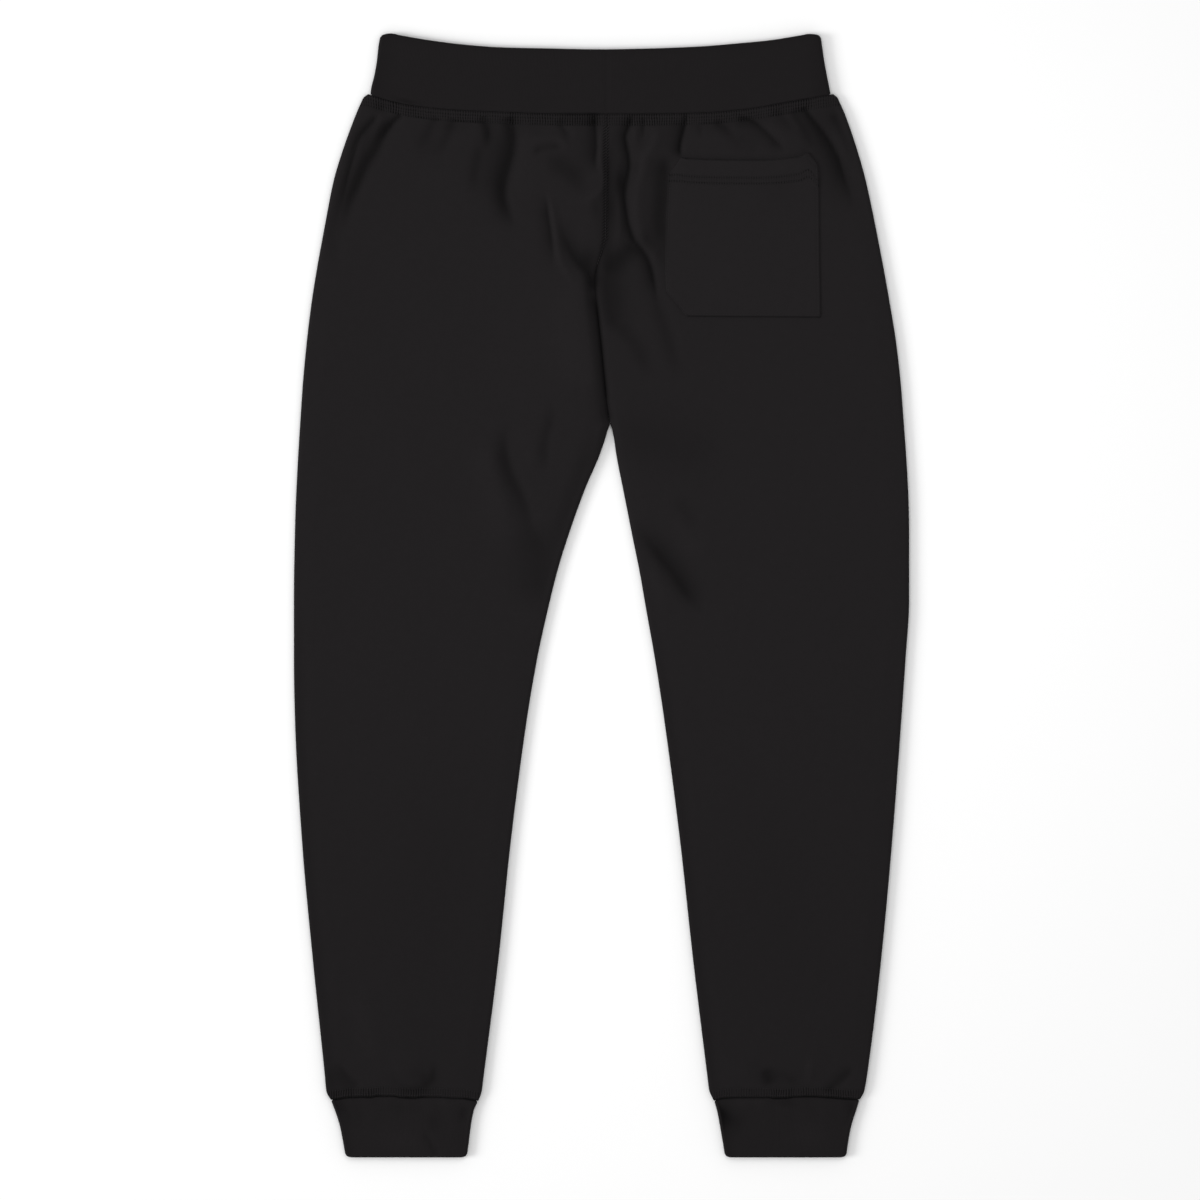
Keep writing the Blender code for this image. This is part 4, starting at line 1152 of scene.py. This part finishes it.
def thread_shape():
    """One stitch of thread, as places along, sideways and up, and its faces."""
    sides, rings = 5, (0.04, 0.3, 0.7, 0.96)
    points, faces = [(0.0, 0.0, 0.0)], []
    for t in rings:
        size = math.sqrt(max(1.0 - abs(2 * t - 1) ** 3, 0.05))
        for k in range(sides):
            turn = 2 * math.pi * k / sides
            points.append((t, size * math.cos(turn), size * math.sin(turn)))
    points.append((1.0, 0.0, 0.0))
    end = len(points) - 1
    for k in range(sides):
        k2 = (k + 1) % sides
        faces.append((0, 1 + k2, 1 + k))
        for ring in range(len(rings) - 1):
            a, b = 1 + ring * sides, 1 + (ring + 1) * sides
            faces += [(a + k, a + k2, b + k2), (a + k, b + k2, b + k)]
        last = 1 + (len(rings) - 1) * sides
        faces.append((last + k, last + k2, end))
    return np.array(points), np.array(faces)


def walked_along(points):
    """Distance along a line at each of its points."""
    return np.concatenate(([0.0], np.cumsum(np.linalg.norm(np.diff(points, axis=0), axis=1))))


def sew(points, up, pitch, filled=0.74, thick=0.25, raised=0.10, sunk=0.12):
    """Stitches along a line of points: their vertices and faces."""
    shape, faces = thread_shape()
    length = walked_along(points)
    count = max(1, int(length[-1] / (pitch * MM)))
    begin = (np.arange(count) + 0.5 * (1 - filled)) * length[-1] / count
    finish = begin + filled * length[-1] / count

    def at(values, where):
        return np.stack([np.interp(where, length, values[:, k]) for k in range(3)], axis=1)

    start, end, normal = at(points, begin), at(points, finish), at(up, 0.5 * (begin + finish))
    normal /= np.linalg.norm(normal, axis=1, keepdims=True)
    along = end - start
    across = np.cross(along / np.linalg.norm(along, axis=1, keepdims=True), normal)
    t, sideways, height = shape.T
    arch = raised * (1.0 - (2 * t - 1) ** 2) - sunk
    verts = (start[:, None] + along[:, None] * t[None, :, None]
             + across[:, None] * (sideways * thick * MM)[None, :, None]
             + normal[:, None] * ((height * thick + arch) * MM)[None, :, None])
    all_faces = faces[None] + (np.arange(count) * len(shape))[:, None, None]
    return verts.reshape(-1, 3), all_faces.reshape(-1, 3)


def sewn_piece(name, lines, pitch, material, **how):
    """All the stitches of one seam as one piece."""
    verts, faces, base = [], [], 0
    for points, up in lines:
        more, more_faces = sew(points, up, pitch, **how)
        verts.append(more)
        faces.append(more_faces + base)
        base += len(more)
    obj = new_piece(name, np.concatenate(verts), np.concatenate(faces), material)
    obj.data.shade_smooth()
    return obj


def panel_line(side, face, column, level):
    """A line on a panel with its outward direction."""
    here = world(*panel_surface(side, face, column, level))
    beside = world(*panel_surface(side, face, column + 0.004, level))
    below = world(*panel_surface(side, face, column, lambda x: level(x) + 0.4))
    up = np.cross(beside - here, below - here)
    outward = np.zeros(up.shape)
    outward[:, 0] = side * np.clip(1.0 - column, 0.0, 1.0)
    outward[:, 2] = 0.4 * face
    up *= np.sign((up * outward).sum(axis=1, keepdims=True))
    return here, up


def flat_line(x, down, z):
    """A line on cloth that lies level."""
    points = world(x, down, z)
    return points, np.broadcast_to((0.0, 0.0, 1.0), points.shape)


def pocket_line(x, down, share):
    """A line on the pocket's face."""
    level = (down - pocket_top(x)) / (pocket_bottom(x) - pocket_top(x))
    return flat_line(x, down, back_top(x, down) + POCKET_LIFT + pocket_rise(x, down, share, level))


def seam_columns(middle, last, end):
    """Column places along a whole seam: round the side, across, and in to the inner edge."""
    return np.concatenate((np.linspace(0.12, 1, 12)[:-1], np.linspace(1, 2, middle)[:-1],
                           np.linspace(2, last, end)))


def waist_stitch(material):
    column = seam_columns(160, 2.9, 6)
    lines = [panel_line(side, face, column, lambda x: waist_seam(x) + row)
             for side in (LEFT, RIGHT) for face in (BACK, FRONT) for row in COVER_ROWS]
    return sewn_piece("waist_cover_stitch", lines, STITCH, material)


def cuff_stitch(name, side, material):
    column = seam_columns(90, 2.88, 12)
    lines = [panel_line(side, face, column, lambda x: hem_seam(x) - row)
             for face in (BACK, FRONT) for row in HEM_ROWS]
    return sewn_piece(name, lines, STITCH, material)


def chain_stitch(material):
    """The centre-back seam's chain stitch, down to where the seam sinks into its groove."""
    down = np.linspace(CHAIN_TOP, CHAIN_FOOT, 140)
    x = centre_line(down) + CHAIN_BESIDE
    line = flat_line(x, down, back_top(x, down) - CHAIN_SUNK + below_waist(down - waist_seam(x)))
    return sewn_piece("centre_back_chain_stitch", [line], STITCH, material, filled=0.8, thick=0.42)


def pocket_hem_stitch(material):
    share = np.linspace(0.02, 0.985, 120)
    lines = []
    for row in POCKET_ROWS:
        x, _down = pocket_place(share, np.full(share.shape, row / 147.0))
        lines.append(pocket_line(x, pocket_top(x) + row, share))
    return sewn_piece("pocket_hem_stitch", lines, POCKET_STITCH, material)


def pocket_edge_stitch(material):
    """One row down the pocket's left side, round its clipped corner and up its right side."""
    path = np.array([
        (pocket_left(137.0) + POCKET_INSET, 137.0), (pocket_left(208.0) + POCKET_INSET, 208.0),
        (59.7 + POCKET_INSET, 239.3), (80.9, 260.2), (140.0, 260.6), (200.2, 260.9),
        (199.6, 208.0), (198.8, 125.0)])
    length = walked_along(path)
    x, down = (np.interp(np.linspace(0.0, length[-1], 420), length, values) for values in path.T)
    share = (x - pocket_left(down)) / (pocket_right(down) - pocket_left(down))
    return sewn_piece("pocket_edge_stitch", [pocket_line(x, down, share)], POCKET_STITCH, material)


def put(tree, socket, value):
    """Links a wire to a socket, or sets the socket to a plain value."""
    if isinstance(value, Wire):
        tree.links.new(value.socket, socket)
    elif socket.type in ("VECTOR", "RGBA") and not hasattr(value, "__len__"):
        socket.default_value = [value] * len(socket.default_value)
    else:
        socket.default_value = value


class Wire:
    """A shader value that takes part in plain arithmetic."""

    def __init__(self, tree, socket):
        self.tree, self.socket = tree, socket

    def combine(self, way, *values):
        """Colours go through Mix, vectors through Vector Math and numbers through Math."""
        kinds = {value.socket.type for value in values if isinstance(value, Wire)}
        if "RGBA" in kinds:
            node = self.tree.nodes.new("ShaderNodeMix")
            node.data_type = "RGBA"
            node.blend_type = way
            node.inputs[0].default_value = 1.0
            sockets, result = node.inputs[6:8], node.outputs[2]
        else:
            node = self.tree.nodes.new("ShaderNodeVectorMath" if "VECTOR" in kinds else "ShaderNodeMath")
            node.operation = way
            sockets, result = node.inputs[:], node.outputs[0]
        for socket, value in zip(sockets, values):
            put(self.tree, socket, value)
        return Wire(self.tree, result)

    def __add__(self, other):
        return self.combine("ADD", self, other)

    def __radd__(self, other):
        return self.combine("ADD", other, self)

    def __sub__(self, other):
        return self.combine("SUBTRACT", self, other)

    def __rsub__(self, other):
        return self.combine("SUBTRACT", other, self)

    def __mul__(self, other):
        return self.combine("MULTIPLY", self, other)

    def __rmul__(self, other):
        return self.combine("MULTIPLY", other, self)

    def __pow__(self, other):
        return self.combine("POWER", self, other)

    def __rpow__(self, other):
        return self.combine("POWER", other, self)

    def __abs__(self):
        return self.combine("ABSOLUTE", self)

    def at_least(self, least):
        return self.combine("MAXIMUM", self, least)

    def waves(self, pitch):
        """Even waves of that pitch along this value."""
        return (self * (2 * math.pi / pitch)).sine()

    def sine(self):
        return self.combine("SINE", self)


class Cloth:
    """A material under construction."""

    def __init__(self, name, rough, sheen, gloss):
        self.material = bpy.data.materials.new(name)
        self.material.use_nodes = True
        self.tree = self.material.node_tree
        self.shader = self.tree.nodes["Principled BSDF"].inputs
        self.shader["Roughness"].default_value = rough
        self.shader["Metallic"].default_value = 0.0
        self.shader["Specular IOR Level"].default_value = gloss
        self.shader["Sheen Weight"].default_value = sheen
        self.shader["Sheen Roughness"].default_value = 0.45
        self.shader["Sheen Tint"].default_value = (0.93, 0.9, 0.93, 1.0)

    def node(self, kind, settings, inputs, output=0):
        """Any shader node: its settings first, then its sockets' values or wires."""
        node = self.tree.nodes.new(kind)
        for key, value in settings.items():
            setattr(node, key, value)
        for key, value in inputs.items():
            put(self.tree, node.inputs[key], value)
        return Wire(self.tree, node.outputs[output])

    def number(self, name):
        """A number noted on the piece's points."""
        kind = {"attribute_type": "GEOMETRY", "attribute_name": name}
        return self.node("ShaderNodeAttribute", kind, {}, "Fac")

    def coordinates(self):
        """Object coordinates in millimetres, with their X and their Y on their own."""
        place = self.node("ShaderNodeTexCoord", {}, {}, "Object") * 1000.0
        x, y = (self.node("ShaderNodeSeparateXYZ", {}, {0: place}, part) for part in "XY")
        return place, x, y

    def noise(self, place, scale, detail, rough=0.5):
        return self.node("ShaderNodeTexNoise", {}, {
            "Vector": place, "Scale": scale, "Detail": detail, "Roughness": rough})

    def paint(self, place, dark, light, scale, nap_and_painted_shading):
        """Base colour that wanders a little between two blacks, times the painted shading it is given."""
        wander = self.noise(place, scale, 3.0, 0.6)
        colour = self.node("ShaderNodeMix", {"data_type": "RGBA"}, {0: wander, 6: dark, 7: light}, 2)
        put(self.tree, self.shader["Base Color"], colour * nap_and_painted_shading)

    def bump(self, height):
        """Bump from a height in millimetres."""
        bump = self.node("ShaderNodeBump", {}, {
            "Height": height * MM, "Distance": 1.0, "Strength": 1.0}, "Normal")
        put(self.tree, self.shader["Normal"], bump)


def fleece_cloth():
    """Smooth-faced sweatshirt fleece: fine jersey wales with a light nap, crimped by seams."""
    cloth = Cloth("black_fleece", rough=0.92, sheen=0.03, gloss=0.07)
    place, x, y = cloth.coordinates()
    wale = abs(x.waves(2 * WALE))
    loops = (y * (2 * math.pi / COURSE) + wale * 2.4).sine()
    nap = cloth.noise(place, 0.9, 4.0, 0.7)
    wander = cloth.noise(place, 0.11, 1.0) * 5.0
    crimp, slant = cloth.number("crimp"), cloth.number("slant")
    wave = (x * (2 * math.pi / CRIMP) + wander).sine()
    bead = (cloth.number("from_seam") * (2 * math.pi / CRIMP_BEAD) + wander * 0.5).sine()
    # Highest in the valleys between the crimps, where shade is painted
    gap = (0.5 - wave * 0.5) ** 2.0 * (0.66 - bead * 0.34)
    tick = (x * 0.8 - y).waves(STITCH)
    cloth.bump(wale * 0.035 + loops * 0.012 + nap * 0.09 + wave * crimp * 0.15 + tick * slant * 0.22)
    # Painted shade between the crimps and in the needle holes, painted highlights and shade on the chain
    # stitch's ticks, and painted shade in creases and along seams; the nap's own tone wanders at random
    uneven = cloth.noise(place, 0.35, 2.0) * 0.9 + 0.55
    nap_and_painted_shading = (1.0 - crimp * (gap * 2.0 - 0.2) * uneven).at_least(0.15)
    nap_and_painted_shading = nap_and_painted_shading * (1.0 - slant * (0.2 - tick * 0.42)).at_least(0.25)
    nap_and_painted_shading = nap_and_painted_shading * (1.0 - cloth.number("holes") * (gap * 1.5 + 0.15)).at_least(0.15)
    nap_and_painted_shading = nap_and_painted_shading * (1.0 - cloth.number("crease") * SHADE_DARKENS) * (nap * 0.36 + 0.82)
    # Painted shade: a little darker towards the cuffs, where less light falls
    nap_and_painted_shading = nap_and_painted_shading * cloth.node("ShaderNodeMapRange", {"interpolation_type": "SMOOTHSTEP"}, {
        "Value": y, "From Min": -20.0, "From Max": -420.0, "To Min": 1.0, "To Max": 0.93})
    cloth.paint(place, FLEECE_DARK, FLEECE_LIGHT, 0.16, nap_and_painted_shading)
    return cloth.material


def rib_cloth():
    """Very fine one by one rib."""
    cloth = Cloth("black_rib", rough=0.9, sheen=0.03, gloss=0.07)
    place, _x, y = cloth.coordinates()
    rib = abs(cloth.number("around").waves(2 * RIB))
    nap = cloth.noise(place, 1.1, 3.0, 0.65)
    cloth.bump(rib * 0.11 + y.waves(RIB_COURSE) * rib * 0.012 + nap * 0.05)
    # Painted shade from the piece's notes, times the nap's own tone, which wanders at random
    nap_and_painted_shading = (1.0 - cloth.number("crease") * SHADE_DARKENS) * (nap * 0.3 + 0.85)
    cloth.paint(place, RIB_DARK, RIB_LIGHT, 0.14, nap_and_painted_shading)
    return cloth.material


def thread_cloth():
    cloth = Cloth("black_thread", rough=0.7, sheen=0.0, gloss=0.15)
    cloth.shader["Base Color"].default_value = THREAD_BLACK
    return cloth.material


fleece, rib, thread = fleece_cloth(), rib_cloth(), thread_cloth()
back_left = make_panel("back_left_fleece", LEFT, BACK, fleece)
back_right = make_panel("back_right_fleece", RIGHT, BACK, fleece)
front_left = make_panel("front_left_fleece", LEFT, FRONT, fleece)
front_right = make_panel("front_right_fleece", RIGHT, FRONT, fleece)
pocket = make_pocket(fleece)
band = make_band(rib)
cuff_left = make_cuff("cuff_left_rib", LEFT, rib)
cuff_right = make_cuff("cuff_right_rib", RIGHT, rib)
waist_sewing = waist_stitch(thread)
left_sewing = cuff_stitch("cuff_cover_stitch_left", LEFT, thread)
right_sewing = cuff_stitch("cuff_cover_stitch_right", RIGHT, thread)
centre_sewing = chain_stitch(thread)
pocket_sewing = (pocket_hem_stitch(thread), pocket_edge_stitch(thread))

for piece, node, slot in (
    (back_left, "back_left", "fleece_black"),
    (back_right, "back_right", "fleece_black"),
    (front_left, "front_left", "fleece_black"),
    (front_right, "front_right", "fleece_black"),
    (pocket, "back_pocket", "fleece_black"),
    (band, "waistband", "rib_black"),
    (cuff_left, "cuff_left", "rib_black"),
    (cuff_right, "cuff_right", "rib_black"),
):
    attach(piece, "root")
    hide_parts(node)
for piece in (waist_sewing, left_sewing, right_sewing, centre_sewing, *pocket_sewing):
    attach(piece, "root")


def plain_floor():
    mesh = bpy.data.meshes.new("floor")
    reach, just_below = 4.0, -0.0003
    corners = [(-reach, -reach, 0), (reach, -reach, 0), (reach, reach, 0), (-reach, reach, 0)]
    mesh.from_pydata(corners, [], [(0, 1, 2, 3)])
    floor = bpy.data.objects.new("floor", mesh)
    bpy.context.scene.collection.objects.link(floor)
    floor.location.z = just_below
    material = bpy.data.materials.new("pale_floor")
    material.use_nodes = True
    shader = material.node_tree.nodes["Principled BSDF"]
    shader.inputs["Base Color"].default_value = (0.97, 0.97, 0.97, 1.0)
    shader.inputs["Roughness"].default_value = 0.9
    shader.inputs["Specular IOR Level"].default_value = 0.0
    mesh.materials.append(material)


def lamp(name, place, size, power, target=(0.0, 0.0, 0.0)):
    """A round soft lamp that faces its target."""
    light = bpy.data.lights.new(name, "AREA")
    light.shape = "DISK"
    light.size = size
    light.energy = power
    obj = bpy.data.objects.new(name, light)
    bpy.context.scene.collection.objects.link(obj)
    obj.location = place
    obj.rotation_euler = (Vector(target) - Vector(place)).to_track_quat("-Z", "Y").to_euler()
    return obj


def studio():
    """Plain soft light: a pale room, a low key lamp on the left and a weak one overhead."""
    room = bpy.data.worlds.new("soft_room")
    bpy.context.scene.world = room
    room.use_nodes = True
    sky = room.node_tree.nodes["Background"]
    sky.inputs["Color"].default_value = (1.0, 1.0, 1.0, 1.0)
    sky.inputs["Strength"].default_value = 0.68
    lamp("key", place=(-6.97, -0.61, 3.88), size=3.2, power=325.0)
    above = lamp("above", place=(0.02, 0.22, 1.25), size=0.8, power=3.0, target=(0.02, 0.22, 0.0))
    above.visible_camera = False
    bpy.context.scene.view_settings.view_transform = "Standard"
    bpy.context.scene.view_settings.look = "None"


def look_down():
    """Camera straight above, with a long lens."""
    camera = bpy.data.cameras.new("camera")
    camera.sensor_width = 36.0
    distance, shown_width = 6.0, 1.1113
    camera.lens = camera.sensor_width * distance / shown_width
    camera.clip_end = 50.0
    camera.dof.use_dof = False
    obj = bpy.data.objects.new("camera", camera)
    bpy.context.scene.collection.objects.link(obj)
    obj.location = (-0.0014, -0.0042, distance)
    bpy.context.scene.camera = obj


plain_floor()
studio()
look_down()
